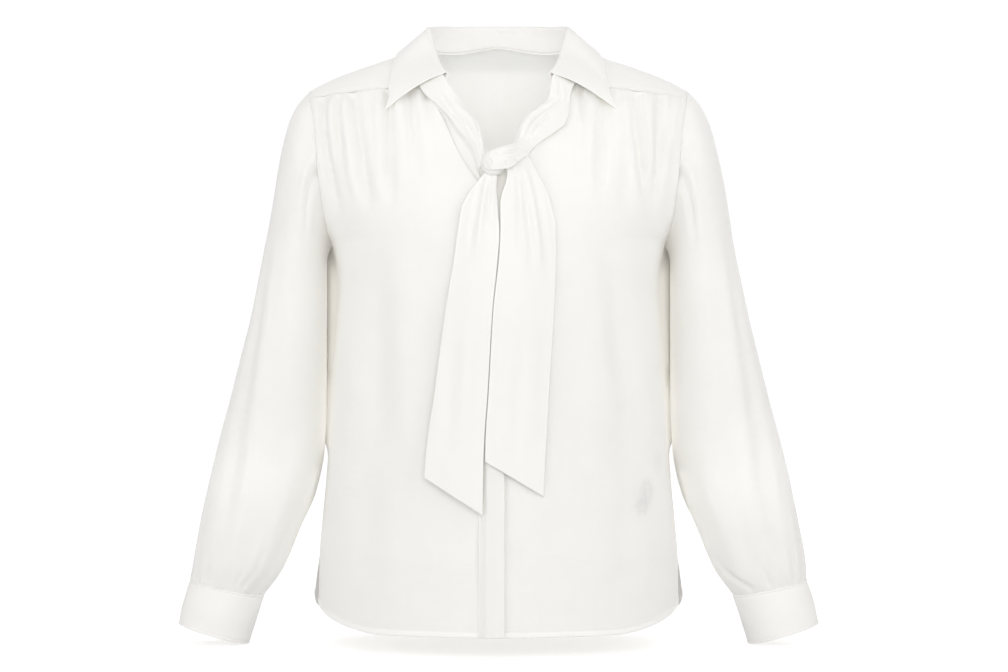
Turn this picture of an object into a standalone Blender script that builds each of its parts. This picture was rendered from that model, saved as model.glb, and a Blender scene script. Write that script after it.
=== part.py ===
"""Worn blouse, hollow: every cloth piece is a wall of even thickness run through its own sections.

Metres, +Z up, the front faces -Y, the wearer's left is +X. The origin is midway between the
shoulders at the level of the neck points. Girth is measured from the shoulder ridge: positive
down the front, negative down the back.
"""

import math

import bpy
import numpy as np

# ---------------------------------------------------------------- sizes
CLOTH = 0.0012
COLLAR_WALL = 0.0015
CUFF_WALL = 0.0020
TIE_WALL = 0.0018
SEAM_GAP = 0.0004
SEWN_ON_GAP = 0.0003

# Girths of the seams and hems, and the neck
YOKE_FRONT = 0.028
YOKE_BACK = 0.118
UNDERARM = 0.205
VENT_TOP = 0.541
HEM_FRONT = 0.6195
HEM_FRONT_RISE = 0.028
HEM_BACK = 0.634
HEM_BACK_RISE = 0.0466
HEM_LEVEL_SHARE = 0.456
HEM_CURVE = 1.35
NECK_WIDTH = 0.082
NECK_BACK = -0.030
LONGEST_GIRTH = 0.66

# Points across half a body section, and girths of the sections of each piece
HALF_COLUMNS = 13
FRONT_ROWS = (YOKE_FRONT, 0.054, 0.080, 0.105, 0.130, 0.150, 0.168, 0.190, UNDERARM)
SIDE_ROWS = (0.228, 0.260, 0.305, 0.360, 0.420, 0.480, VENT_TOP)
BACK_ROWS = (-YOKE_BACK, -0.145, -0.170, -0.190, -UNDERARM)
HEM_STEPS = (0.5, 1.0)
YOKE_NECK_ROWS = (YOKE_FRONT, 0.014, 0.000, -0.012, -0.021, -0.027, NECK_BACK)
YOKE_ARM_ROWS = (YOKE_FRONT, 0.014, 0.000, -0.012, -0.026, -0.042, -0.058)
YOKE_LOW_NECK = (NECK_BACK, -0.058, -0.088, -YOKE_BACK)
YOKE_LOW_ARM = (-0.058, -0.075, -0.096, -YOKE_BACK)

# Shape of the body sections: how steeply the shoulder falls near the neck and, more, near the arm
SHOULDER_SLOPE = 1.2
SHOULDER_SLOPE_MORE = 0.5
SHOULDER_BEND_FROM = 0.55
SWELL_FROM = 0.5
BODY_CORE_TOP = -0.15

# Buttons
BUTTON_RADIUS = 0.0045
BUTTON_HEIGHT = 0.0020
BUTTON_LINE = -0.0061
BUTTON_GIRTHS = (0.215, 0.300, 0.385, 0.470, 0.555)
BUTTON_PROFILE = ((0.86, 0.0), (1.0, 0.25), (1.0, 0.75), (0.86, 1.0))
CUFF_BUTTON_RADIUS = 0.0050
CUFF_BUTTON_GAP = 0.0008
CUFF_BUTTON_ANGLE = -17.5

# Body sections: girth, half width, centre z, side z, centre y, side y, turn of the side, side swell
BODY = (
    (-0.640, 0.2030, -0.632, -0.632, 0.121, 0.000, 90, 0.006),
    (-0.590, 0.2020, -0.590, -0.590, 0.121, 0.000, 90, 0.006),
    (-0.541, 0.1963, -0.541, -0.541, 0.120, 0.000, 90, 0.006),
    (-0.506, 0.1935, -0.506, -0.506, 0.118, 0.000, 90, 0.005),
    (-0.460, 0.1890, -0.460, -0.460, 0.117, 0.000, 90, 0.006),
    (-0.432, 0.1869, -0.432, -0.432, 0.116, 0.000, 90, 0.0120),
    (-0.417, 0.1860, -0.417, -0.417, 0.116, 0.000, 90, 0.0190),
    (-0.400, 0.1850, -0.400, -0.400, 0.116, 0.000, 90, 0.0215),
    (-0.350, 0.1820, -0.350, -0.350, 0.116, 0.000, 90, 0.0235),
    (-0.250, 0.1755, -0.250, -0.250, 0.121, 0.000, 90, 0.0302),
    (-0.225, 0.1783, -0.225, -0.225, 0.121, 0.000, 90, 0.0275),
    (-0.205, 0.1820, -0.203, -0.205, 0.121, 0.000, 90, 0.0225),
    (-0.190, 0.1900, -0.185, -0.190, 0.120, 0.027, 80, 0.0160),
    (-0.165, 0.1960, -0.150, -0.160, 0.117, 0.052, 70, 0.0040),
    (-0.118, 0.1985, -0.095, -0.116, 0.108, 0.061, 62, 0.000),
    (-0.075, 0.2020, -0.040, -0.077, 0.092, 0.050, 60, 0.000),
    (-0.028, 0.2065, 0.022, -0.045, 0.062, 0.026, 60, 0.000),
    (0.000, 0.2070, 0.038, -0.0345, 0.000, 0.000, 60, 0.000),
    (0.028, 0.2055, -0.027, -0.0446, -0.062, -0.024, 60, 0.000),
    (0.075, 0.1995, -0.072, -0.076, -0.090, -0.047, 60, 0.000),
    (0.125, 0.1950, -0.122, -0.124, -0.114, -0.057, 62, 0.000),
    (0.165, 0.1905, -0.164, -0.166, -0.127, -0.046, 70, 0.000),
    (0.190, 0.1860, -0.190, -0.191, -0.131, -0.025, 80, 0.000),
    (0.205, 0.1820, -0.205, -0.205, -0.133, 0.000, 90, 0.000),
    (0.250, 0.1755, -0.250, -0.250, -0.134, 0.000, 90, 0.000),
    (0.350, 0.1820, -0.350, -0.350, -0.128, 0.000, 90, 0.000),
    (0.420, 0.1860, -0.420, -0.420, -0.126, 0.000, 90, 0.000),
    (0.460, 0.1890, -0.460, -0.460, -0.127, 0.000, 90, 0.000),
    (0.506, 0.1935, -0.506, -0.506, -0.128, 0.000, 90, 0.000),
    (0.541, 0.1963, -0.541, -0.541, -0.130, 0.000, 90, 0.000),
    (0.590, 0.1970, -0.590, -0.590, -0.131, 0.000, 90, 0.000),
    (0.620, 0.1975, -0.620, -0.620, -0.132, 0.000, 90, 0.000),
)

# Neckline: girth, half width of the opening on the right front and on the left front
NECKLINE = (
    (0.000, 0.0820, 0.0820),
    (0.028, 0.0770, 0.0770),
    (0.050, 0.0705, 0.0705),
    (0.068, 0.0616, 0.0616),
    (0.100, 0.0480, 0.0480),
    (0.127, 0.0357, 0.0357),
    (0.146, 0.0217, 0.0217),
    (0.152, 0.0175, 0.0170),
    (0.168, 0.0175, -0.0170),
    (0.700, 0.0175, -0.0170),
)

# Gather folds below the front yoke: side (-1 right, +1 left), x at the top, x at the foot,
# girth at the top, girth of greatest depth, girth at the foot, height (+ out, - in), half width
FOLDS = (
    (-1, 0.176, 0.148, 0.030, 0.090, 0.175, -0.0030, 0.010),
    (-1, 0.141, 0.127, 0.030, 0.105, 0.200, -0.0038, 0.011),
    (-1, 0.119, 0.115, 0.030, 0.090, 0.170, -0.0030, 0.010),
    (-1, 0.096, 0.094, 0.030, 0.075, 0.145, -0.0026, 0.010),
    (1, 0.166, 0.142, 0.030, 0.095, 0.190, -0.0034, 0.011),
    (1, 0.133, 0.145, 0.030, 0.080, 0.170, -0.0034, 0.010),
    (1, 0.102, 0.103, 0.030, 0.080, 0.160, -0.0030, 0.010),
    (-1, 0.157, 0.156, 0.240, 0.380, 0.580, 0.0034, 0.016),
    (-1, 0.129, 0.126, 0.190, 0.310, 0.480, -0.0045, 0.015),
    (-1, 0.095, 0.094, 0.200, 0.330, 0.520, 0.0030, 0.016),
    (1, 0.156, 0.164, 0.230, 0.340, 0.560, 0.0032, 0.015),
    (1, 0.115, 0.146, 0.190, 0.300, 0.480, -0.0045, 0.014),
    (1, 0.095, 0.110, 0.220, 0.340, 0.540, 0.0028, 0.016),
)
FOLDS_END = 0.60
FOLDS_EASE = 0.05
FOLDS_SIDE_EASE = 0.08

# Sleeve rings, mm: outer x, outer z, inner x, inner z, front y, back y
SLEEVE = (
    (207.0, -38.0, 182.0, -205.0, -57.0, 61.0),
    (219.0, -50.0, 184.5, -208.0, -60.0, 64.0),
    (228.5, -68.0, 186.5, -212.0, -61.5, 65.0),
    (236.5, -97.0, 188.0, -217.0, -62.0, 65.0),
    (244.5, -135.0, 189.0, -226.0, -61.0, 65.0),
    (253.0, -184.0, 189.7, -243.0, -59.0, 64.0),
    (262.0, -232.0, 189.7, -272.0, -58.0, 62.0),
    (271.5, -278.0, 189.7, -305.0, -56.0, 60.0),
    (283.0, -325.0, 189.7, -345.0, -54.0, 58.0),
    (295.0, -373.0, 190.0, -388.0, -52.0, 56.0),
    (306.0, -414.0, 192.0, -428.0, -50.0, 54.0),
    (317.5, -462.0, 201.0, -474.0, -48.0, 51.0),
    (327.0, -506.0, 217.0, -511.0, -44.0, 47.0),
    (334.5, -545.0, 238.0, -560.0, -38.0, 40.0),
    (338.5, -571.4, 258.4, -588.4, -31.0, 31.0),
)

# Sleeve folds: side, angle at the top, angle at the foot, share of the way down where it starts,
# is deepest and ends, height (+ out, - in), half width in degrees
SLEEVE_FOLDS = (
    (-1, 50, 70, 0.42, 0.75, 0.97, -0.0032, 17),
    (-1, 96, 104, 0.03, 0.18, 0.42, -0.0026, 15),
    (-1, 20, 34, 0.55, 0.82, 0.98, 0.0026, 16),
    (-1, 112, 124, 0.55, 0.86, 0.98, 0.0028, 18),
    (-1, -130, -126, 0.40, 0.78, 0.97, -0.0030, 18),
    (-1, -62, -70, 0.45, 0.80, 0.97, 0.0028, 18),
    (1, 56, 74, 0.45, 0.78, 0.97, -0.0030, 17),
    (1, 98, 104, 0.03, 0.20, 0.44, -0.0026, 15),
    (1, 24, 36, 0.55, 0.84, 0.98, 0.0026, 16),
    (1, 116, 128, 0.52, 0.84, 0.98, 0.0028, 18),
    (1, -126, -122, 0.42, 0.76, 0.97, -0.0030, 18),
    (1, -58, -66, 0.45, 0.82, 0.97, 0.0028, 18),
)
HEAD_RINGS = 6
LEFT_SLEEVE_OUT = 0.0024
LEFT_SLEEVE_EASE = (0.3, 0.08)

# Cuff rings, mm, as the sleeve's
CUFF = (
    (338.5, -572.0, 258.4, -589.0, -31.0, 31.0),
    (346.2, -596.0, 267.2, -615.5, -31.8, 31.8),
    (351.5, -619.3, 275.5, -641.3, -31.0, 31.0),
)
# Angles round the cuff, 0 outer and 90 front: its ends, where it starts to lift over the other end
CUFF_UNDER_END = -85.0
CUFF_OVER_END = 310.0
CUFF_LIFT = 0.0024
CUFF_LIFT_FROM = 235.0
CUFF_LIFT_TURN = 30.0
CUFF_LAP_POINTS = 5
CUFF_ROUND_POINTS = 27

# Placket, across: x, lift of its middle above the fronts
PLACKET = (
    (-0.0205, 0.0016),
    (-0.0165, 0.0019),
    (-0.0112, 0.0042),
    (-0.0010, 0.0042),
    (0.0028, 0.0037),
    (0.0065, 0.0032),
)
PLACKET_TOP = -0.150
PLACKET_ROWS = (
    -0.168, -0.190, -0.205, -0.228, -0.260, -0.305, -0.360, -0.420, -0.480, -VENT_TOP, -0.580, -HEM_FRONT,
)

# Collar, from centre back to the front end of the left side: run along the seam, seam x,
# seam girth, fold x, fold y, fold z, edge x, edge girth, edge lift, roll radius
COLLAR = (
    (0.000, 0.0000, -0.030, 0.0000, 0.0660, 0.0448, 0.0000, -0.0512, 0.0036, 0.0030),
    (0.036, 0.0357, -0.027, 0.0360, 0.0600, 0.0440, 0.0580, -0.0415, 0.0036, 0.0030),
    (0.065, 0.0611, -0.020, 0.0620, 0.0400, 0.0415, 0.0880, -0.0295, 0.0034, 0.0030),
    (0.098, 0.0790, -0.008, 0.0755, 0.0140, 0.0380, 0.1040, -0.012, 0.0030, 0.0028),
    (0.126, 0.0813, 0.004, 0.0765, -0.0060, 0.0345, 0.1110, 0.004, 0.0030, 0.0028),
    (0.168, 0.0790, 0.018, 0.0705, -0.0300, 0.0100, 0.1172, 0.025, 0.0032, 0.0034),
    (0.201, 0.0755, 0.034, 0.0635, -0.0560, -0.0100, 0.1205, 0.043, 0.0040, 0.0040),
    (0.217, 0.0712, 0.048, 0.0552, -0.0740, -0.0221, 0.1260, 0.0615, 0.0042, 0.0040),
)
COLLAR_RUNS = (0.0, 0.020, 0.040, 0.058, 0.075, 0.092, 0.110, 0.128, 0.146, 0.164, 0.184, 0.202, 0.217)
COLLAR_SEAM_LIFT = 0.0018
COLLAR_STAND_STEPS = (0.0, 0.5)
COLLAR_ROLL_ANGLES = (180, 135, 90, 45, 0)
COLLAR_LEAF_STEPS = (0.33, 0.67, 1.0)
COLLAR_BOW = 0.0035
COLLAR_BOW_FROM = 0.13
COLLAR_BOW_RUN = 0.06
RIGHT_POINT_SHIFT = (0.005, 0.0015)
RIGHT_POINT_FROM = 0.17
RIGHT_POINT_RUN = 0.047

# Tie band on the right: upper edge x, y, z, lower edge x, y, z, height of the roll between them
BAND_RIGHT = (
    (-0.0655, -0.0571, -0.0150, -0.0865, -0.0585, -0.0262, 0.0000),
    (-0.0575, -0.0752, -0.0265, -0.0812, -0.0735, -0.0390, 0.0000),
    (-0.0535, -0.0785, -0.0345, -0.0735, -0.0775, -0.0480, 0.0010),
    (-0.0478, -0.0800, -0.0415, -0.0660, -0.0808, -0.0553, 0.0020),
    (-0.0360, -0.0865, -0.0598, -0.0539, -0.0895, -0.0681, 0.0030),
    (-0.0220, -0.0965, -0.0767, -0.0417, -0.1000, -0.0849, 0.0035),
    (-0.0172, -0.1056, -0.0934, -0.0278, -0.1090, -0.1015, 0.0040),
    (-0.0090, -0.1195, -0.1155, -0.0150, -0.1205, -0.1210, 0.0030),
)

# Under part of the right band, which goes behind the front neck edge: x, y, z of its edge, by band row
FLANGE_RIGHT = (
    (-0.0883, -0.0586, -0.0272),
    (-0.0824, -0.0737, -0.0398),
    (-0.0746, -0.0778, -0.0490),
    (-0.0668, -0.0791, -0.0565),
    (-0.0625, -0.0799, -0.0670),
    (-0.0510, -0.0968, -0.0960),
    (-0.0405, -0.1080, -0.1185),
    (-0.0250, -0.1172, -0.1415),
)

# Tie band on the left, as the right one
BAND_LEFT = (
    (0.0655, -0.0571, -0.0150, 0.0860, -0.0585, -0.0260, 0.0000),
    (0.0575, -0.0752, -0.0265, 0.0790, -0.0738, -0.0385, 0.0000),
    (0.0555, -0.0785, -0.0385, 0.0770, -0.0765, -0.0455, 0.0010),
    (0.0535, -0.0800, -0.0491, 0.0762, -0.0788, -0.0530, 0.0020),
    (0.0425, -0.0850, -0.0590, 0.0752, -0.0860, -0.0660, 0.0035),
    (0.0315, -0.0900, -0.0683, 0.0705, -0.0935, -0.0785, 0.0045),
    (0.0225, -0.0975, -0.0808, 0.0611, -0.0990, -0.0868, 0.0050),
    (0.0176, -0.1056, -0.0974, 0.0411, -0.1085, -0.1014, 0.0050),
    (0.0080, -0.1195, -0.1125, 0.0200, -0.1205, -0.1180, 0.0030),
)

KNOT_CENTRE = (0.0028, -0.1260, -0.1245)
KNOT_HALF = (0.0181, 0.0096, 0.0171)
KNOT_TILT = 20.0
KNOT_SPACE = 0.0009
WRAP_TURN = 112.0
WRAP_RISE = 46.0
WRAP_END_WIDTH = 0.62
WRAP_LIFT = 0.0016
WRAP_SPACE_SPREAD = 1.10
WRAP_SPACE = 0.0010
BAND_COLUMNS = 6
BAND_CROWN = 0.45
FLANGE_TURN = 0.3
FLANGE_DROP = 0.25
FLANGE_DROP_MOST = 0.0045

# Tie tails: x and z of the edge on the right, x and z of the edge on the left, lift of each edge, fold
TAIL_RIGHT = (
    (-0.0110, -0.1390, -0.0010, -0.1390, 0.0080, 0.0080, 0.0000),
    (-0.0223, -0.1454, -0.0012, -0.1480, 0.0070, 0.0080, 0.0010),
    (-0.0300, -0.1561, -0.0012, -0.1561, 0.0070, 0.0080, 0.0020),
    (-0.0379, -0.1718, -0.0010, -0.1718, 0.0070, 0.0078, 0.0020),
    (-0.0418, -0.1982, -0.0008, -0.1982, 0.0065, 0.0076, 0.0020),
    (-0.0452, -0.2242, -0.0010, -0.2242, 0.0065, 0.0076, 0.0020),
    (-0.0536, -0.2764, -0.0060, -0.2764, 0.0070, 0.0076, 0.0020),
    (-0.0645, -0.3600, -0.0108, -0.3600, 0.0080, 0.0076, 0.0015),
    (-0.0735, -0.4300, -0.0151, -0.4300, 0.0095, 0.0076, 0.0010),
    (-0.0748, -0.4527, -0.0160, -0.4918, 0.0100, 0.0080, 0.0000),
)
TAIL_LEFT = (
    (0.0120, -0.1330, 0.0190, -0.1240, 0.0080, 0.0080, 0.0000),
    (0.0060, -0.1454, 0.0354, -0.1238, 0.0080, 0.0050, 0.0010),
    (0.0022, -0.1620, 0.0521, -0.1558, 0.0080, 0.0042, 0.0020),
    (0.0026, -0.1874, 0.0594, -0.1874, 0.0078, 0.0040, 0.0020),
    (0.0020, -0.2139, 0.0595, -0.2139, 0.0076, 0.0040, 0.0020),
    (-0.0040, -0.2765, 0.0575, -0.2765, 0.0076, 0.0040, 0.0020),
    (-0.0084, -0.3600, 0.0525, -0.3600, 0.0076, 0.0042, 0.0015),
    (-0.0110, -0.4150, 0.0487, -0.4300, 0.0076, 0.0046, 0.0010),
    (-0.0118, -0.4354, 0.0468, -0.4722, 0.0078, 0.0050, 0.0000),
)


# ---------------------------------------------------------------- sections
def monotone(table):
    """A smooth curve with no overshoot through the rows of a table; the first column is the station."""
    rows = np.array(table, float)
    t = rows[:, 0]
    v = rows[:, 1:]
    h = np.diff(t)[:, None]
    d = np.diff(v, axis=0) / h
    m = np.zeros_like(v)
    m[0] = d[0]
    m[-1] = d[-1]
    w1 = 2 * h[1:] + h[:-1]
    w2 = h[1:] + 2 * h[:-1]
    same = d[:-1] * d[1:] > 0
    safe0 = np.where(same, d[:-1], 1.0)
    safe1 = np.where(same, d[1:], 1.0)
    m[1:-1] = np.where(same, (w1 + w2) / (w1 / safe0 + w2 / safe1), 0.0)

    def at(q):
        q = np.clip(np.asarray(q, float), t[0], t[-1])
        i = np.clip(np.searchsorted(t, q, side="right") - 1, 0, len(t) - 2)
        step = (t[i + 1] - t[i])[..., None]
        s = (q - t[i])[..., None] / step
        rest = 1 - s
        ends = v[i] * (1 + 2 * s) * rest**2 + v[i + 1] * s * s * (3 - 2 * s)
        return ends + step * s * rest * (m[i] * rest - m[i + 1] * s)

    return at


body_section = monotone(BODY)
neck_section = monotone(NECKLINE)


def smooth(t):
    t = np.clip(t, 0.0, 1.0)
    return t * t * (3 - 2 * t)


def unit(a):
    return a / np.maximum(np.linalg.norm(a, axis=-1, keepdims=True), 1e-12)


def torso(v, phi):
    """Middle of the body cloth at a girth and a turn; phi runs from -1 at one side to 1 at the other."""
    v, phi = np.broadcast_arrays(np.asarray(v, float), np.asarray(phi, float))
    s = body_section(v)
    width, mid_z, side_z, mid_y, side_y = (s[..., k] for k in range(5))
    turn = np.radians(s[..., 5])
    th = phi * turn
    u = np.sin(th) / np.sin(turn)
    swell = np.sin(np.pi * np.clip((np.abs(phi) - SWELL_FROM) / (1 - SWELL_FROM), 0.0, 1.0)) ** 2
    x = width * u + s[..., 6] * np.sign(phi) * swell
    y = side_y + (mid_y - side_y) * (np.cos(th) - np.cos(turn)) / (1 - np.cos(turn))
    bend = np.clip((np.abs(u) - SHOULDER_BEND_FROM) / (1 - SHOULDER_BEND_FROM), 0.0, 1.0)
    slope = SHOULDER_SLOPE + SHOULDER_SLOPE_MORE * bend**1.5
    z = mid_z + (side_z - mid_z) * np.abs(u) ** slope
    return np.stack([x, y, z], axis=-1)


def torso_normal(v, phi):
    e = 1e-4
    dv = torso(v + e, phi) - torso(v - e, phi)
    dp = torso(v, phi + e) - torso(v, phi - e)
    return unit(np.cross(dv, dp))


def phi_at(v, x):
    """Turn at which the section of girth v has this x, away from the side swell."""
    s = body_section(v)
    turn = np.radians(s[..., 5])
    u = np.clip(np.asarray(x) / s[..., 0], -1.0, 1.0)
    return np.arcsin(u * np.sin(turn)) / turn


def front_girth(x, z):
    """Girth on the front whose section passes through x at height z."""
    x, z = np.broadcast_arrays(np.asarray(x, float), np.asarray(z, float))
    low = np.full(x.shape, 0.0)
    high = np.full(x.shape, LONGEST_GIRTH)
    for _ in range(40):
        mid = (low + high) / 2
        below = torso(mid, phi_at(mid, x))[..., 2] > z
        low = np.where(below, mid, low)
        high = np.where(below, high, mid)
    return (low + high) / 2


def on_front(x, z, lift):
    v = front_girth(x, z)
    phi = phi_at(v, x)
    return torso(v, phi) + torso_normal(v, phi) * np.asarray(lift)[..., None]


def fold_relief(v, x):
    """Height of the gather folds on the fronts."""
    total = np.zeros(np.broadcast(v, x).shape)
    for side, top_x, foot_x, top, deep, foot, height, half in FOLDS:
        t = np.clip((v - top) / (foot - top), 0.0, 1.0)
        along = smooth((v - top) / (deep - top)) * smooth((foot - v) / (foot - deep))
        centre = side * (top_x + (foot_x - top_x) * t)
        total = total + height * along * np.exp(-(((x - centre) / half) ** 2))
    return total


def hem_rise(phi):
    """Share of the hem's rise towards the side vents."""
    s = np.clip((np.abs(phi) - HEM_LEVEL_SHARE) / (1 - HEM_LEVEL_SHARE), 0.0, 1.0)
    return s**HEM_CURVE


# ---------------------------------------------------------------- cloth walls
def grid_normals(p, around=False):
    """Unit normals of a grid of points, by differences."""
    down = np.gradient(p, axis=0)
    if around:
        ring = p[:, :-1]
        across = (np.roll(ring, -1, axis=1) - np.roll(ring, 1, axis=1)) / 2
        across = np.concatenate([across, across[:, :1]], axis=1)
    else:
        across = np.gradient(p, axis=1)
    return unit(np.cross(down, across))


class Patch:
    """A grid of points on the middle of the cloth, with its normals and the edges that are sewn."""

    def __init__(self, points, outward, sewn=(), around=False):
        self.p = np.array(points, float)
        self.n = grid_normals(self.p, around)
        if np.sum(self.n * outward(self.p)) < 0:
            self.n = -self.n
        self.sewn = sewn
        self.around = around
        self.moved = np.zeros_like(self.p)

    def edge(self, name):
        return {
            "top": (0, slice(None)),
            "foot": (-1, slice(None)),
            "first": (slice(None), 0),
            "last": (slice(None), -1),
        }[name]

    def draw_back(self, gap):
        """Moves each sewn edge half a seam gap into the piece, square to the shared normal."""
        for name in self.sewn:
            at = self.edge(name)
            inner = {"top": (1, slice(None)), "foot": (-2, slice(None))}
            inner.update({"first": (slice(None), 1), "last": (slice(None), -2)})
            line = self.p[at]
            along = np.gradient(line, axis=0)
            if self.around:
                along[0] = along[-1] = line[1] - line[-2]
            side = unit(np.cross(along, self.n[at]))
            sign = np.sign(np.sum(side * (self.p[inner[name]] - line), axis=-1, keepdims=True))
            self.moved[at] += side * sign * gap / 2


def key_of(point):
    return tuple(np.round(point * 2e5).astype(int))


def share_normals(patches):
    """Gives points that meet one normal, the mean of the pieces that meet there."""
    found = {}
    for patch in patches:
        rows, columns = patch.p.shape[:2]
        for i in range(rows):
            for j in range(columns):
                if i in (0, rows - 1) or j in (0, columns - 1):
                    found.setdefault(key_of(patch.p[i, j]), []).append((patch, i, j))
    for places in found.values():
        if len(places) > 1:
            mean = unit(sum(patch.n[i, j] for patch, i, j in places))
            for patch, i, j in places:
                patch.n[i, j] = mean


def wall_mesh(patches, thickness):
    """Vertices and faces of a closed wall of this thickness about the patches."""
    index = {}
    middle = []
    normals = []
    quads = []
    for patch in patches:
        rows, columns = patch.p.shape[:2]
        ids = np.zeros((rows, columns), int)
        for i in range(rows):
            for j in range(columns):
                key = key_of(patch.p[i, j])
                if key not in index:
                    index[key] = len(middle)
                    middle.append([])
                    normals.append([])
                ids[i, j] = index[key]
                middle[ids[i, j]].append(patch.p[i, j] + patch.moved[i, j])
                normals[ids[i, j]].append(patch.n[i, j])
        a = ids[:-1, :-1].ravel()
        b = ids[1:, :-1].ravel()
        c = ids[1:, 1:].ravel()
        d = ids[:-1, 1:].ravel()
        face_n = np.cross(patch.p[1:, :-1] - patch.p[:-1, 1:], patch.p[1:, 1:] - patch.p[:-1, :-1])
        if np.sum(face_n * patch.n[:-1, :-1]) < 0:
            b, d = d, b
        quads.extend(zip(a, b, c, d))
    middle = np.array([np.mean(m, axis=0) for m in middle])
    normals = unit(np.array([np.mean(n, axis=0) for n in normals]))
    count = len(middle)
    vertices = np.concatenate([middle + normals * thickness / 2, middle - normals * thickness / 2])
    faces = []
    edges = {}
    for quad in quads:
        ring = [q for k, q in enumerate(quad) if q != quad[k - 1]]
        if len(ring) < 3:
            continue
        faces.append(tuple(ring))
        faces.append(tuple(q + count for q in reversed(ring)))
        for k, q in enumerate(ring):
            nxt = ring[(k + 1) % len(ring)]
            if (nxt, q) in edges:
                del edges[(nxt, q)]
            else:
                edges[(q, nxt)] = True
    for q, nxt in edges:
        faces.append((nxt, q, q + count, nxt + count))
    return vertices, faces


def add_object(name, vertices, faces, material, smooth_faces=True):
    mesh = bpy.data.meshes.new(name)
    mesh.from_pydata([tuple(v) for v in vertices], [], [tuple(int(q) for q in f) for f in faces])
    mesh.update()
    for polygon in mesh.polygons:
        polygon.use_smooth = smooth_faces
    mesh.materials.append(material)
    obj = bpy.data.objects.new(name, mesh)
    blouse.objects.link(obj)
    return obj


def new_material(name, colour, roughness):
    material = bpy.data.materials.new(name)
    material.use_nodes = True
    shader = material.node_tree.nodes["Principled BSDF"]
    shader.inputs["Base Color"].default_value = (*colour, 1.0)
    shader.inputs["Roughness"].default_value = roughness
    material.diffuse_color = (*colour, 1.0)
    return material


def cloth_wall(name, patches, thickness, shade=0.0):
    colour = (0.90 - shade, 0.89 - shade, 0.86 - shade)
    vertices, faces = wall_mesh(patches, thickness)
    return add_object(name, vertices, faces, new_material(name + "_cloth", colour, 0.8))


# ---------------------------------------------------------------- the garment
for old in list(bpy.data.objects):
    bpy.data.objects.remove(old, do_unlink=True)
blouse = bpy.data.collections.new("tie_neck_blouse")
bpy.context.scene.collection.children.link(blouse)


def up_and_out(p):
    """Roughly outward on the body: away from a line down its middle."""
    centre = np.zeros_like(p)
    centre[..., 2] = np.minimum(p[..., 2], BODY_CORE_TOP)
    return p - centre


def neck_half_width(v, side):
    """Half width of the neck opening; the side is -1 for the right front and 1 for the left."""
    v = np.asarray(v, float)
    ellipse = NECK_WIDTH * np.sqrt(np.clip(1 - (np.minimum(v, 0) / NECK_BACK) ** 2, 0.0, 1.0))
    s = neck_section(np.maximum(v, 0.0))
    return np.where(v < 0, ellipse, s[..., 0] if side < 0 else s[..., 1])


def half_turns(v, side, columns):
    """Turns from the side of the body to the neck or centre front edge."""
    inner = phi_at(v, side * neck_half_width(v, side))
    share = np.linspace(0.0, 1.0, columns)
    return side + (inner[..., None] - side) * share


def front_patch(side, columns=HALF_COLUMNS):
    girths = np.array(FRONT_ROWS + SIDE_ROWS)
    turns = half_turns(girths, side, columns)
    v = np.repeat(girths[:, None], columns, axis=1)
    hem = HEM_FRONT - HEM_FRONT_RISE * hem_rise(turns[-1])
    for step in HEM_STEPS:
        v = np.vstack([v, girths[-1] + (hem - girths[-1]) * step])
        turns = np.vstack([turns, turns[len(girths) - 1]])
    p = torso(v, turns)
    relief = fold_relief(v, p[..., 0]) * smooth((1 - np.abs(turns)) / FOLDS_SIDE_EASE)
    relief = relief * smooth((FOLDS_END - v) / FOLDS_EASE)
    p = p + torso_normal(v, turns) * relief[..., None]
    return Patch(p, up_and_out, sewn=("top", "first"))


def yoke_patches(columns=HALF_COLUMNS):
    share = np.linspace(0.0, 1.0, columns)
    patches = []
    for side in (-1, 1):
        near = np.array(YOKE_NECK_ROWS)[:, None]
        far = np.array(YOKE_ARM_ROWS)[:, None]
        v = far + (near - far) * share
        inner = phi_at(near[:, 0], side * neck_half_width(near[:, 0], side))
        turns = side + (inner[:, None] - side) * share
        patches.append(Patch(torso(v, turns), up_and_out, sewn=("top", "first")))
    turns = np.concatenate([-1 + share, share[1:]])[None, :]
    reach = np.abs(turns)
    near = np.array(YOKE_LOW_NECK)[:, None]
    far = np.array(YOKE_LOW_ARM)[:, None]
    v = near + (far - near) * reach
    patches.append(Patch(torso(v, turns), up_and_out, sewn=("foot", "first", "last")))
    return patches


def back_patch(columns=HALF_COLUMNS):
    share = np.linspace(0.0, 1.0, columns)
    line = np.concatenate([-1 + share, share[1:]])
    girths = np.concatenate([BACK_ROWS, -np.array(SIDE_ROWS)])
    turns = np.repeat(line[None, :], len(girths), axis=0)
    v = np.repeat(girths[:, None], len(line), axis=1)
    hem = HEM_BACK_RISE * hem_rise(line) - HEM_BACK
    for step in HEM_STEPS:
        v = np.vstack([v, girths[-1] + (hem - girths[-1]) * step])
        turns = np.vstack([turns, line])
    return Patch(torso(v, turns), up_and_out, sewn=("top", "first", "last"))


def ring_points(row, angle):
    """Point of a sleeve or cuff ring: 0 outer, 90 front, 180 inner, 270 back; and its normal."""
    outer_x, outer_z, inner_x, inner_z, front_y, back_y = np.array(row) / 1000
    centre = np.array([(outer_x + inner_x) / 2, (front_y + back_y) / 2, (outer_z + inner_z) / 2])
    half = np.array([(outer_x - inner_x) / 2, 0.0, (outer_z - inner_z) / 2])
    depth = (back_y - front_y) / 2
    c = np.cos(np.radians(angle))[:, None]
    s = np.sin(np.radians(angle))[:, None]
    size = np.linalg.norm(half)
    forward = np.array([0.0, -1.0, 0.0])
    p = centre + half * c + forward * depth * s
    n = unit(half / size * c / size + forward * s / depth)
    return p, n


def armhole_loop(side):
    front = np.array(FRONT_ROWS)[::-1]
    yoke = np.concatenate([YOKE_ARM_ROWS[1:], YOKE_LOW_ARM[1:]])
    girths = np.concatenate([front, yoke, BACK_ROWS[1:]])
    return torso(girths, float(side))


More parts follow.
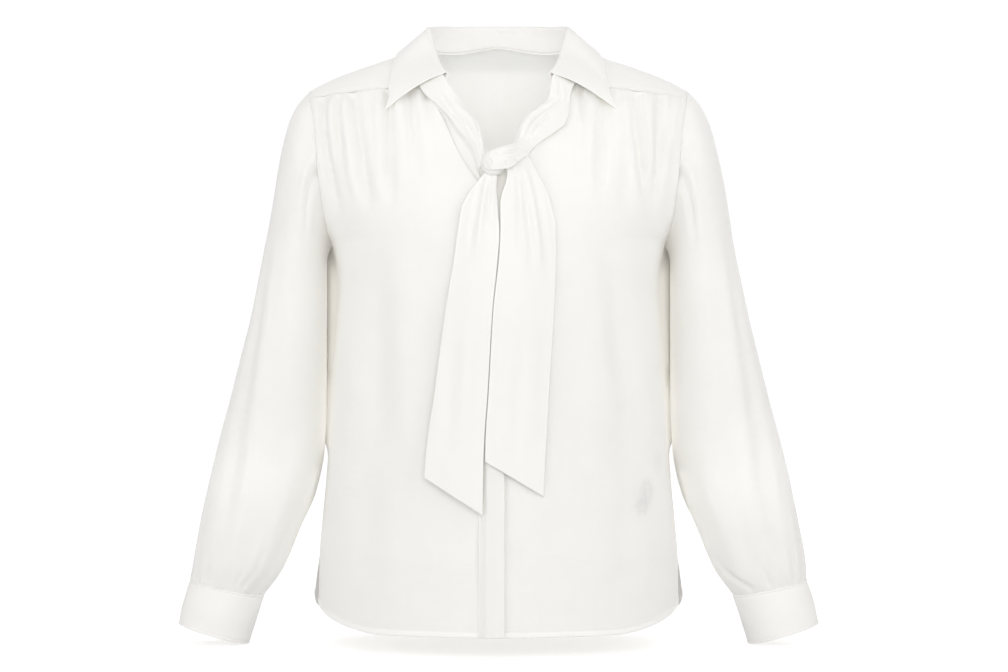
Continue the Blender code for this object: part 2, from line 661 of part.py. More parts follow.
def sleeve_angles(loop):
    """Angle round the ring for each armhole point, by its share of the way along the loop."""
    run = np.concatenate([[0.0], np.cumsum(np.linalg.norm(np.diff(loop, axis=0), axis=1))])
    top = len(FRONT_ROWS) + YOKE_ARM_ROWS[1:].index(0.0)
    front = 180.0 * (1 - run[: top + 1] / run[top])
    back = -180.0 * (run[top + 1 :] - run[top]) / (run[-1] - run[top])
    return np.concatenate([front, back])


def sleeve_relief(side, down, angle):
    """Height of the sleeve folds at a share of the way down and an angle round the ring."""
    total = np.zeros(np.broadcast(down, angle).shape)
    for hand, top_angle, foot_angle, top, deep, foot, height, half in SLEEVE_FOLDS:
        if hand != side:
            continue
        along = smooth((down - top) / (deep - top)) * smooth((foot - down) / (foot - deep))
        centre = top_angle + (foot_angle - top_angle) * np.clip((down - top) / (foot - top), 0, 1)
        away = (angle - centre + 180) % 360 - 180
        total = total + height * along * np.exp(-((away / half) ** 2))
    return total


def fuller(down, angles):
    """Share of the extra fullness on the outer side of the left sleeve."""
    outer = smooth((1 + np.cos(np.radians(angles))) / 2)[:, None]
    start, end = LEFT_SLEEVE_EASE
    return outer * smooth(down / start) * smooth((1 - down) / end)


def sleeve_patch(side):
    mirror = np.array([side, 1.0, 1.0])
    loop = armhole_loop(side)
    angles = sleeve_angles(loop * mirror)
    first, _ = ring_points(SLEEVE[0], angles)
    offset = loop * mirror - first
    rings = []
    for k, row in enumerate(SLEEVE):
        p, n = ring_points(row, angles)
        fade = smooth(1 - k / HEAD_RINGS)
        down = k / (len(SLEEVE) - 1)
        relief = sleeve_relief(side, down, angles)
        if side > 0:
            p = p + np.array([LEFT_SLEEVE_OUT, 0, 0]) * fuller(down, angles)
        rings.append((p + offset * fade + n * relief[:, None]) * mirror)
        last_n = n * mirror
    rings[0] = loop
    p = np.array(rings)
    p[:, -1] = p[:, 0]
    axis = np.mean(p, axis=1, keepdims=True)
    patch = Patch(p, lambda q: q - axis, sewn=("top",), around=True)
    patch.n[-1] = last_n
    return patch


def cuff_patch(side):
    mirror = np.array([side, 1.0, 1.0])
    lap = np.linspace(CUFF_UNDER_END, CUFF_OVER_END - 360, CUFF_LAP_POINTS)
    round_ = np.linspace(CUFF_OVER_END - 360, 360 + CUFF_UNDER_END, CUFF_ROUND_POINTS)[1:-1]
    angles = np.concatenate([lap, round_, lap + 360])
    lift = CUFF_LIFT * smooth((angles - CUFF_LIFT_FROM) / CUFF_LIFT_TURN)
    points = []
    normals = []
    for row in CUFF:
        p, n = ring_points(row, angles)
        points.append((p + n * lift[:, None]) * mirror)
        normals.append(n * mirror)
    p = np.array(points)
    axis = np.mean(p, axis=1, keepdims=True)
    patch = Patch(p, lambda q: q - axis)
    patch.n = np.array(normals)
    return patch


def placket_patch():
    across = np.array(PLACKET)
    heights = np.array([PLACKET_TOP, *PLACKET_ROWS])
    x = np.repeat(across[None, :, 0], len(heights), axis=0)
    z = np.repeat(heights[:, None], len(across), axis=1)
    lift = np.repeat(across[None, :, 1], len(heights), axis=0)
    return Patch(on_front(x, z, lift), up_and_out)


def disc(name, centre, axis, radius, height, material, sides=24):
    """A flat round button with a softened rim, its axis along the given direction."""
    axis = unit(axis)
    helper = np.array([0.0, 0.0, 1.0])
    u = unit(np.cross(helper, axis))
    w = np.cross(axis, u)
    vertices = []
    for r, h in BUTTON_PROFILE:
        for k in range(sides):
            t = 2 * math.pi * k / sides
            spoke = u * math.cos(t) + w * math.sin(t)
            vertices.append(centre + spoke * radius * r + axis * height * (h - 0.5))
    faces = [tuple(range(sides - 1, -1, -1))]
    for ring in range(len(BUTTON_PROFILE) - 1):
        for k in range(sides):
            nxt = (k + 1) % sides
            a = ring * sides
            faces.append((a + k, a + nxt, a + sides + nxt, a + sides + k))
    top = (len(BUTTON_PROFILE) - 1) * sides
    faces.append(tuple(range(top, top + sides)))
    return add_object(name, vertices, faces, material)


collar_section = monotone(COLLAR)


def collar_half(side):
    """Points of half of the collar in one wall: stand, roll and leaf, on one side."""
    runs = np.array(COLLAR_RUNS)
    s = collar_section(runs)
    seam_x, seam_v, edge_x, edge_v, edge_lift, radius = (s[:, k] for k in (0, 1, 5, 6, 7, 8))
    fold = s[:, 2:5].copy()
    if side < 0:
        tip = smooth((runs - RIGHT_POINT_FROM) / RIGHT_POINT_RUN)
        edge_x = edge_x - RIGHT_POINT_SHIFT[0] * tip
        edge_v = edge_v + RIGHT_POINT_SHIFT[1] * tip
    mirror = np.array([side, 1.0, 1.0])
    seam_phi = phi_at(seam_v, seam_x)
    seam = torso(seam_v, seam_phi) + torso_normal(seam_v, seam_phi) * COLLAR_SEAM_LIFT
    edge_phi = phi_at(edge_v, edge_x)
    edge = torso(edge_v, edge_phi) + torso_normal(edge_v, edge_phi) * edge_lift[:, None]
    rise = unit(fold - seam)
    out = edge - seam
    out = unit(out - rise * np.sum(out * rise, axis=1, keepdims=True))
    r = radius[:, None]
    centre = fold - rise * r
    rows = []
    start = centre - out * r
    for t in COLLAR_STAND_STEPS:
        rows.append(seam + (start - seam) * t)
    for angle in COLLAR_ROLL_ANGLES:
        a = math.radians(angle)
        rows.append(centre + out * r * math.cos(a) + rise * r * math.sin(a))
    leaf_start = centre + out * r
    for t in COLLAR_LEAF_STEPS:
        bow = COLLAR_BOW * 4 * t * (1 - t) * (1 - 0.4 * t) * smooth((runs - COLLAR_BOW_FROM) / COLLAR_BOW_RUN)
        rows.append(leaf_start + (edge - leaf_start) * t + (out + rise) * bow[:, None])
    return np.array(rows) * mirror


def strip(first, last, heights):
    """Rows of points between two edges with a rounded rise between them."""
    share = np.linspace(0.0, 1.0, BAND_COLUMNS)[None, :, None]
    p = first[:, None] + (last - first)[:, None] * share
    n = grid_normals(p)
    if np.sum(n[..., 1]) > 0:
        n = -n
    rise = np.sin(np.pi * share[..., 0] ** (math.log(0.5) / math.log(BAND_CROWN)))
    return p + n * (heights[:, None] * rise)[..., None]


def forwards(p):
    out = np.zeros_like(p)
    out[..., 1] = -1.0
    return out


def band_points(table):
    s = np.array(table)
    return strip(s[:, 0:3], s[:, 3:6], s[:, 6])


def right_band_points():
    """The right band with the flange that turns in behind the front neck edge."""
    top = band_points(BAND_RIGHT)
    edge = np.array(FLANGE_RIGHT)
    width = np.linalg.norm(edge - top[:, -1], axis=1, keepdims=True)
    turn = top[:, -1] + (edge - top[:, -1]) * FLANGE_TURN
    turn = turn + np.array([0.0, 1.0, 0.0]) * np.minimum(FLANGE_DROP * width, FLANGE_DROP_MOST)
    return np.concatenate([top, turn[:, None], edge[:, None]], axis=1)


def tail_points(table):
    s = np.array(table)
    share = np.linspace(0.0, 1.0, BAND_COLUMNS)[None, :]
    x = s[:, 0:1] + (s[:, 2:3] - s[:, 0:1]) * share
    z = s[:, 1:2] + (s[:, 3:4] - s[:, 1:2]) * share
    lift = s[:, 4:5] + (s[:, 5:6] - s[:, 4:5]) * share
    lift = lift + s[:, 6:7] * np.sin(np.pi * share) ** 2
    return on_front(x, z, lift)


def knot_point(a, b, grow):
    """Point on the knot, grown by a margin: a turns across the front, b up; the knot is tilted."""
    half = np.array(KNOT_HALF) + grow
    x = half[0] * np.sin(a) * np.cos(b)
    y = -half[1] * np.cos(a) * np.cos(b)
    z = half[2] * np.sin(b)
    t = math.radians(KNOT_TILT)
    p = np.stack([x * math.cos(t) - z * math.sin(t), y, x * math.sin(t) + z * math.cos(t)], axis=-1)
    return p + np.array(KNOT_CENTRE)


def ellipsoid(grow, around=16, up=8):
    vertices = [knot_point(0.0, -math.pi / 2, grow)]
    for i in range(1, up):
        b = -math.pi / 2 + math.pi * i / up
        for k in range(around):
            vertices.append(knot_point(2 * math.pi * k / around, b, grow))
    vertices.append(knot_point(0.0, math.pi / 2, grow))
    faces = []
    for k in range(around):
        nxt = (k + 1) % around
        faces.append((0, 1 + nxt, 1 + k))
        top = 1 + (up - 2) * around
        faces.append((len(vertices) - 1, top + k, top + nxt))
        for i in range(up - 2):
            a = 1 + i * around
            faces.append((a + k, a + nxt, a + around + nxt, a + around + k))
    return vertices, faces


def wrap_points(spread=1.0, columns=13, rows=5):
    """Points of the strip over the knot, narrower behind."""
    a = np.radians(np.linspace(-WRAP_TURN, WRAP_TURN, columns))[:, None] * spread
    face_on = np.cos(np.clip(a, -math.pi / 2, math.pi / 2)) ** 2
    wide = WRAP_END_WIDTH + (1 - WRAP_END_WIDTH) * face_on
    b = np.radians(np.linspace(-WRAP_RISE, WRAP_RISE, rows))[None, :] * wide * spread
    return knot_point(a, b, WRAP_LIFT)


def cut_by(obj, cutter):
    modifier = obj.modifiers.new("clear_of_" + cutter.name, "BOOLEAN")
    modifier.operation = "DIFFERENCE"
    modifier.object = cutter
    modifier.solver = "EXACT"


fronts = {-1: front_patch(-1), 1: front_patch(1)}
yoke = yoke_patches()
back = back_patch()
sleeves = {-1: sleeve_patch(-1), 1: sleeve_patch(1)}
first_side_row = len(FRONT_ROWS) - 1
last_side_row = first_side_row + len(SIDE_ROWS)
back_first = len(BACK_ROWS) - 1
for side, column in ((-1, 0), (1, -1)):
    front_rows = slice(first_side_row, last_side_row + 1)
    back_rows = slice(back_first, back_first + len(SIDE_ROWS) + 1)
    mean = (fronts[side].p[front_rows, 0] + back.p[back_rows, column]) / 2
    fronts[side].p[front_rows, 0] = mean
    back.p[back_rows, column] = mean
sewn_patches = [fronts[-1], fronts[1], *yoke, back, sleeves[-1], sleeves[1]]
share_normals(sewn_patches)
for patch in sewn_patches:
    patch.draw_back(SEAM_GAP)

cloth_wall("front_right", [fronts[-1]], CLOTH)
cloth_wall("front_left", [fronts[1]], CLOTH, 0.01)
cloth_wall("yoke", yoke, CLOTH, 0.02)
cloth_wall("back", [back], CLOTH, 0.03)
cloth_wall("sleeve_right", [sleeves[-1]], CLOTH, 0.01)
cloth_wall("sleeve_left", [sleeves[1]], CLOTH, 0.01)
cloth_wall("cuff_right", [cuff_patch(-1)], CUFF_WALL, 0.0)
cloth_wall("cuff_left", [cuff_patch(1)], CUFF_WALL, 0.0)
cloth_wall("placket", [placket_patch()], CLOTH, -0.02)

button_material = new_material("button_pearl", (0.82, 0.81, 0.77), 0.35)
for k, girth in enumerate(BUTTON_GIRTHS):
    lift = CLOTH / 2 + SEWN_ON_GAP + BUTTON_HEIGHT / 2
    spot = on_front(BUTTON_LINE, -girth, lift)
    facing = torso_normal(front_girth(BUTTON_LINE, -girth), 0.0)
    disc(f"front_button_{k + 1}", spot, facing, BUTTON_RADIUS, BUTTON_HEIGHT, button_material)
for name, side in (("right", -1), ("left", 1)):
    mirror = np.array([side, 1.0, 1.0])
    mid = np.mean(np.array(CUFF), axis=0)
    p, n = ring_points(mid, np.array([CUFF_OVER_END - 360 + CUFF_BUTTON_ANGLE]))
    lift = CUFF_LIFT + CUFF_WALL / 2 + CUFF_BUTTON_GAP + BUTTON_HEIGHT / 2
    disc("cuff_button_" + name, (p[0] + n[0] * lift) * mirror, n[0] * mirror, CUFF_BUTTON_RADIUS,
         BUTTON_HEIGHT, button_material)

collar_points = np.concatenate([collar_half(-1)[:, ::-1], collar_half(1)[:, 1:]], axis=1)
cloth_wall("collar", [Patch(collar_points, lambda p: collar_points - collar_points[:1])], COLLAR_WALL, -0.02)

tie_names = {
    "tie_band_right": right_band_points(),
    "tie_band_left": band_points(BAND_LEFT),
    "tie_tail_right": tail_points(TAIL_RIGHT),
    "tie_tail_left": tail_points(TAIL_LEFT),
}
knot_cloth = new_material("tie_knot_cloth", (0.90, 0.89, 0.86), 0.8)
add_object("tie_knot", *ellipsoid(0.0), knot_cloth)
wrap = wrap_points()
wrap_patch = Patch(wrap, lambda p: p - np.array(KNOT_CENTRE))
core_space = add_object("knot_space", *ellipsoid(KNOT_SPACE), knot_cloth)
wide_patch = Patch(wrap_points(WRAP_SPACE_SPREAD), lambda p: p - np.array(KNOT_CENTRE))
wrap_space = add_object("wrap_space", *wall_mesh([wide_patch], TIE_WALL + WRAP_SPACE), knot_cloth)
for space in (core_space, wrap_space):
    space.hide_render = True
    space.hide_set(True)
for name, points in tie_names.items():
    piece = cloth_wall(name, [Patch(points, forwards)], TIE_WALL)
    cut_by(piece, core_space)
    cut_by(piece, wrap_space)
cloth_wall("tie_wrap", [wrap_patch], TIE_WALL, -0.02)
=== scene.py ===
"""Looks of a hollow tie-neck blouse in the pose it has when put on: thin cloth shells through the
garment's own sections.

Metres, +Z up, the front faces -Y, the wearer's left is +X. Girth is measured from the shoulder
ridge: positive down the front, negative down the back.
"""

import math

import bpy
import mathutils
import numpy as np
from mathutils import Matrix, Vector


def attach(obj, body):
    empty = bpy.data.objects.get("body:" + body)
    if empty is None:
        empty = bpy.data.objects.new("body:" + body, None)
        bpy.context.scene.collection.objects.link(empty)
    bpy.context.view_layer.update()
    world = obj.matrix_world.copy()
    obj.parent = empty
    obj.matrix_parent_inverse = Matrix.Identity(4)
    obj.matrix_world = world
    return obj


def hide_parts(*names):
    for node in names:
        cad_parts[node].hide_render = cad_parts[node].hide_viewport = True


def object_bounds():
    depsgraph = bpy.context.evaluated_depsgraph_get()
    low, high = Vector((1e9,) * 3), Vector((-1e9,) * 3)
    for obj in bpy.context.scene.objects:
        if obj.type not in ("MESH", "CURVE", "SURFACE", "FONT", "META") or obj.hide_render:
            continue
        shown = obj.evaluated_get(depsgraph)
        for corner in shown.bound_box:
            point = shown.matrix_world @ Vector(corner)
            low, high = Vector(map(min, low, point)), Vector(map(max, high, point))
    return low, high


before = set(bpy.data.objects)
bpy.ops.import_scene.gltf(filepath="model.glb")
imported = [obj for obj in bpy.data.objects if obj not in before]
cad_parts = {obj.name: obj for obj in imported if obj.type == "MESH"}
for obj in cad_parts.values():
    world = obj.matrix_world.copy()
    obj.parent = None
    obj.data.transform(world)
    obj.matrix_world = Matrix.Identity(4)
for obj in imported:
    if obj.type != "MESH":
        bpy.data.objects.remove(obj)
CAD_BOX = [list(map(float, corner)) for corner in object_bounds()]

# ---------------------------------------------------------------- sizes
CLOTH = 0.0008
DOUBLE_CLOTH = 0.0013
TIE_CLOTH = 0.0011
CUFF_CLOTH = 0.0018
YOKE_FRONT = 0.028
YOKE_BACK = 0.118
UNDERARM = 0.205
VENT_TOP = 0.541
HEM_FRONT = 0.6195
HEM_FRONT_RISE = 0.028
HEM_BACK = 0.634
HEM_BACK_RISE = 0.0466
HEM_LEVEL_SHARE = 0.456
HEM_CURVE = 1.35
HEM_BAND = 0.0066
NECK_WIDTH = 0.082
NECK_BACK = -0.030
YOKE_ARM_END = -0.058
LONGEST_GIRTH = 0.66
SHOULDER_SLOPE = 1.2
SHOULDER_SLOPE_MORE = 0.5
SHOULDER_BEND_FROM = 0.55
SWELL_FROM = 0.5

# Body sections: girth, half width, centre z, side z, centre y, side y, turn of the side, side swell
BODY = (
    (-0.640, 0.2030, -0.632, -0.632, 0.121, 0.000, 90, 0.006),
    (-0.590, 0.2020, -0.590, -0.590, 0.121, 0.000, 90, 0.006),
    (-0.541, 0.1963, -0.541, -0.541, 0.120, 0.000, 90, 0.006),
    (-0.506, 0.1935, -0.506, -0.506, 0.118, 0.000, 90, 0.005),
    (-0.460, 0.1890, -0.460, -0.460, 0.117, 0.000, 90, 0.006),
    (-0.432, 0.1869, -0.432, -0.432, 0.116, 0.000, 90, 0.0120),
    (-0.417, 0.1860, -0.417, -0.417, 0.116, 0.000, 90, 0.0190),
    (-0.400, 0.1850, -0.400, -0.400, 0.116, 0.000, 90, 0.0215),
    (-0.350, 0.1820, -0.350, -0.350, 0.116, 0.000, 90, 0.0235),
    (-0.250, 0.1755, -0.250, -0.250, 0.121, 0.000, 90, 0.0302),
    (-0.225, 0.1783, -0.225, -0.225, 0.121, 0.000, 90, 0.0275),
    (-0.205, 0.1820, -0.203, -0.205, 0.121, 0.000, 90, 0.0225),
    (-0.190, 0.1900, -0.185, -0.190, 0.120, 0.027, 80, 0.0160),
    (-0.165, 0.1960, -0.150, -0.160, 0.117, 0.052, 70, 0.0040),
    (-0.118, 0.1985, -0.095, -0.116, 0.108, 0.061, 62, 0.000),
    (-0.075, 0.2020, -0.040, -0.077, 0.092, 0.050, 60, 0.000),
    (-0.028, 0.2065, 0.022, -0.045, 0.062, 0.026, 60, 0.000),
    (0.000, 0.2070, 0.038, -0.0345, 0.000, 0.000, 60, 0.000),
    (0.028, 0.2055, -0.027, -0.0446, -0.062, -0.024, 60, 0.000),
    (0.075, 0.1995, -0.072, -0.076, -0.090, -0.047, 60, 0.000),
    (0.125, 0.1950, -0.122, -0.124, -0.114, -0.057, 62, 0.000),
    (0.165, 0.1905, -0.164, -0.166, -0.127, -0.046, 70, 0.000),
    (0.190, 0.1860, -0.190, -0.191, -0.131, -0.025, 80, 0.000),
    (0.205, 0.1820, -0.205, -0.205, -0.133, 0.000, 90, 0.000),
    (0.250, 0.1755, -0.250, -0.250, -0.134, 0.000, 90, 0.000),
    (0.350, 0.1820, -0.350, -0.350, -0.128, 0.000, 90, 0.000),
    (0.420, 0.1860, -0.420, -0.420, -0.126, 0.000, 90, 0.000),
    (0.460, 0.1890, -0.460, -0.460, -0.127, 0.000, 90, 0.000),
    (0.506, 0.1935, -0.506, -0.506, -0.128, 0.000, 90, 0.000),
    (0.541, 0.1963, -0.541, -0.541, -0.130, 0.000, 90, 0.000),
    (0.590, 0.1970, -0.590, -0.590, -0.131, 0.000, 90, 0.000),
    (0.620, 0.1975, -0.620, -0.620, -0.132, 0.000, 90, 0.000),
)

# Neckline: girth, half width of the opening on the right front and on the left front
NECKLINE = (
    (0.000, 0.0820, 0.0820),
    (0.028, 0.0770, 0.0770),
    (0.050, 0.0705, 0.0705),
    (0.068, 0.0616, 0.0616),
    (0.100, 0.0480, 0.0400),
    (0.120, 0.0380, 0.0220),
    (0.132, 0.0300, 0.0040),
    (0.140, 0.0240, -0.0080),
    (0.152, 0.0180, -0.0170),
    (0.168, 0.0175, -0.0170),
    (0.700, 0.0175, -0.0170),
)

# Sleeve rings, mm: outer x, outer z, inner x, inner z, front y, back y
SLEEVE = (
    (207.0, -38.0, 182.0, -205.0, -57.0, 61.0),
    (219.0, -50.0, 184.5, -208.0, -60.0, 64.0),
    (228.5, -68.0, 186.5, -212.0, -61.5, 65.0),
    (236.5, -97.0, 188.0, -217.0, -62.0, 65.0),
    (244.5, -135.0, 189.0, -226.0, -61.0, 65.0),
    (253.0, -184.0, 189.7, -243.0, -59.0, 64.0),
    (262.0, -232.0, 189.7, -272.0, -58.0, 62.0),
    (271.5, -278.0, 189.7, -305.0, -56.0, 60.0),
    (283.0, -325.0, 189.7, -345.0, -54.0, 58.0),
    (295.0, -373.0, 190.0, -388.0, -52.0, 56.0),
    (306.0, -414.0, 192.0, -428.0, -50.0, 54.0),
    (317.5, -462.0, 201.0, -474.0, -48.0, 51.0),
    (327.0, -506.0, 217.0, -511.0, -44.0, 47.0),
    (334.5, -545.0, 238.0, -560.0, -38.0, 40.0),
    (338.5, -571.4, 258.4, -588.4, -31.0, 31.0),
)
HEAD_RINGS = 6
LEFT_SLEEVE_OUT = 0.0024
LEFT_SLEEVE_EASE = (0.3, 0.08)

# Cuff rings, mm, as the sleeve's
CUFF = (
    (338.3, -571.3, 258.3, -588.2, -31.0, 31.0),
    (346.2, -596.0, 267.2, -615.5, -31.8, 31.8),
    (351.5, -619.3, 275.5, -641.3, -31.0, 31.0),
)
CUFF_UNDER_END = -85.0
CUFF_OVER_END = 310.0
CUFF_LIFT = 0.0024
CUFF_LIFT_FROM = 235.0
CUFF_LIFT_TURN = 30.0

# Placket, across: x, lift of its middle above the fronts
PLACKET = (
    (-0.0205, 0.0016),
    (-0.0165, 0.0019),
    (-0.0112, 0.0042),
    (-0.0010, 0.0042),
    (0.0028, 0.0037),
    (0.0065, 0.0032),
)
PLACKET_TOP = -0.150

# Collar, from centre back to the front end of the left side: run along the seam, seam x,
# seam girth, fold x, fold y, fold z, edge x, edge girth, edge lift, roll radius
COLLAR = (
    (0.000, 0.0000, -0.030, 0.0000, 0.0660, 0.0448, 0.0000, -0.0512, 0.0036, 0.0030),
    (0.036, 0.0357, -0.027, 0.0360, 0.0600, 0.0440, 0.0580, -0.0415, 0.0036, 0.0030),
    (0.065, 0.0611, -0.020, 0.0620, 0.0400, 0.0415, 0.0880, -0.0295, 0.0034, 0.0030),
    (0.098, 0.0790, -0.008, 0.0755, 0.0140, 0.0380, 0.1040, -0.012, 0.0030, 0.0028),
    (0.126, 0.0813, 0.004, 0.0765, -0.0060, 0.0345, 0.1110, 0.004, 0.0030, 0.0028),
    (0.168, 0.0790, 0.018, 0.0705, -0.0300, 0.0100, 0.1172, 0.025, 0.0032, 0.0034),
    (0.201, 0.0755, 0.034, 0.0635, -0.0560, -0.0100, 0.1205, 0.043, 0.0040, 0.0034),
    (0.217, 0.0712, 0.048, 0.0552, -0.0740, -0.0221, 0.1260, 0.0615, 0.0042, 0.0024),
)
COLLAR_SEAM_LIFT = 0.0018
COLLAR_BOW = 0.0035
COLLAR_BOW_FROM = 0.13
COLLAR_BOW_RUN = 0.06
RIGHT_POINT_SHIFT = (0.005, 0.0015)
RIGHT_POINT_FROM = 0.17
RIGHT_POINT_RUN = 0.047

# Tie band on the right: upper edge x, y, z, lower edge x, y, z, height of the roll between them
BAND_RIGHT = (
    (-0.0655, -0.0571, -0.0150, -0.0865, -0.0585, -0.0262, 0.0000),
    (-0.0575, -0.0752, -0.0265, -0.0812, -0.0735, -0.0390, 0.0000),
    (-0.0535, -0.0785, -0.0345, -0.0735, -0.0775, -0.0480, 0.0010),
    (-0.0478, -0.0800, -0.0415, -0.0660, -0.0808, -0.0553, 0.0020),
    (-0.0360, -0.0865, -0.0598, -0.0539, -0.0895, -0.0681, 0.0030),
    (-0.0220, -0.0965, -0.0767, -0.0417, -0.1000, -0.0849, 0.0035),
    (-0.0172, -0.1056, -0.0934, -0.0278, -0.1090, -0.1015, 0.0040),
    (-0.0120, -0.1180, -0.1180, -0.0200, -0.1200, -0.1290, 0.0030),
)

# Under part of the right band, which goes behind the front neck edge: x, y, z of its edge
FLANGE_RIGHT = (
    (-0.0883, -0.0586, -0.0272),
    (-0.0824, -0.0737, -0.0398),
    (-0.0746, -0.0778, -0.0490),
    (-0.0668, -0.0791, -0.0565),
    (-0.0625, -0.0799, -0.0670),
    (-0.0485, -0.0985, -0.0967),
    (-0.0360, -0.1105, -0.1230),
    (-0.0175, -0.1190, -0.1462),
)

# Tie band on the left, as the right one
BAND_LEFT = (
    (0.0655, -0.0571, -0.0150, 0.0860, -0.0585, -0.0260, 0.0000),
    (0.0575, -0.0752, -0.0265, 0.0790, -0.0738, -0.0385, 0.0000),
    (0.0555, -0.0785, -0.0385, 0.0770, -0.0765, -0.0455, 0.0010),
    (0.0535, -0.0800, -0.0491, 0.0762, -0.0788, -0.0530, 0.0020),
    (0.0425, -0.0850, -0.0590, 0.0752, -0.0860, -0.0660, 0.0035),
    (0.0315, -0.0900, -0.0683, 0.0705, -0.0935, -0.0785, 0.0045),
    (0.0225, -0.0975, -0.0808, 0.0611, -0.0990, -0.0868, 0.0050),
    (0.0176, -0.1056, -0.0974, 0.0411, -0.1085, -0.1014, 0.0050),
    (0.0145, -0.1195, -0.1040, 0.0285, -0.1225, -0.1160, 0.0040),
)
FLANGE_TURN = 0.3
FLANGE_DROP = 0.25
FLANGE_DROP_MOST = 0.0045
BAND_CROWN = 0.45

KNOT_CENTRE = np.array((-0.0052, -0.1268, -0.1244))
KNOT_HALF = np.array((0.0128, 0.0104, 0.0122))
KNOT_TILT = 8.0

# Wrap over the knot, from the left band to its tucked end: columns as the bands'
WRAP = (
    (0.0185, -0.1160, -0.1000, 0.0330, -0.1190, -0.1120, 0.0000),
    (0.0130, -0.1235, -0.1026, 0.0240, -0.1285, -0.1190, 0.0020),
    (0.0018, -0.1325, -0.1066, 0.0085, -0.1372, -0.1290, 0.0030),
    (-0.0076, -0.1315, -0.1098, -0.0040, -0.1372, -0.1300, 0.0030),
    (-0.0150, -0.1255, -0.1145, -0.0150, -0.1300, -0.1285, 0.0020),
    (-0.0174, -0.1185, -0.1185, -0.0180, -0.1200, -0.1262, 0.0000),
)

# Tie tails: x and z of the edge on the right, x and z of the edge on the left, lift of each
# edge, and lift of the fold between them
TAIL_RIGHT = (
    (-0.0130, -0.1340, -0.0005, -0.1340, 0.0095, 0.0095, 0.0000),
    (-0.0223, -0.1454, -0.0018, -0.1480, 0.0072, 0.0085, 0.0010),
    (-0.0300, -0.1561, -0.0016, -0.1561, 0.0070, 0.0080, 0.0020),
    (-0.0379, -0.1718, -0.0005, -0.1718, 0.0070, 0.0078, 0.0020),
    (-0.0418, -0.1982, 0.0012, -0.1982, 0.0065, 0.0076, 0.0020),
    (-0.0452, -0.2242, -0.0006, -0.2242, 0.0065, 0.0076, 0.0020),
    (-0.0536, -0.2764, -0.0058, -0.2764, 0.0070, 0.0076, 0.0020),
    (-0.0645, -0.3600, -0.0106, -0.3600, 0.0080, 0.0076, 0.0015),
    (-0.0735, -0.4300, -0.0149, -0.4300, 0.0095, 0.0076, 0.0010),
    (-0.0748, -0.4527, -0.0160, -0.4918, 0.0100, 0.0080, 0.0000),
)
TAIL_LEFT = (
    (0.0060, -0.1250, 0.0290, -0.1160, 0.0120, 0.0100, 0.0000),
    (0.0075, -0.1300, 0.0335, -0.1215, 0.0125, 0.0080, 0.0010),
    (0.0092, -0.1374, 0.0398, -0.1330, 0.0120, 0.0060, 0.0020),
    (0.0078, -0.1457, 0.0462, -0.1450, 0.0105, 0.0050, 0.0020),
    (0.0039, -0.1562, 0.0520, -0.1562, 0.0090, 0.0042, 0.0020),
    (0.0018, -0.1667, 0.0553, -0.1700, 0.0084, 0.0040, 0.0020),
    (0.0022, -0.1874, 0.0594, -0.1874, 0.0078, 0.0040, 0.0020),
    (0.0012, -0.2139, 0.0595, -0.2139, 0.0076, 0.0040, 0.0020),
    (-0.0051, -0.2765, 0.0575, -0.2765, 0.0076, 0.0040, 0.0020),
    (-0.0097, -0.3600, 0.0525, -0.3600, 0.0076, 0.0042, 0.0015),
    (-0.0131, -0.4150, 0.0487, -0.4300, 0.0076, 0.0046, 0.0010),
    (-0.0134, -0.4354, 0.0468, -0.4722, 0.0078, 0.0050, 0.0000),
)

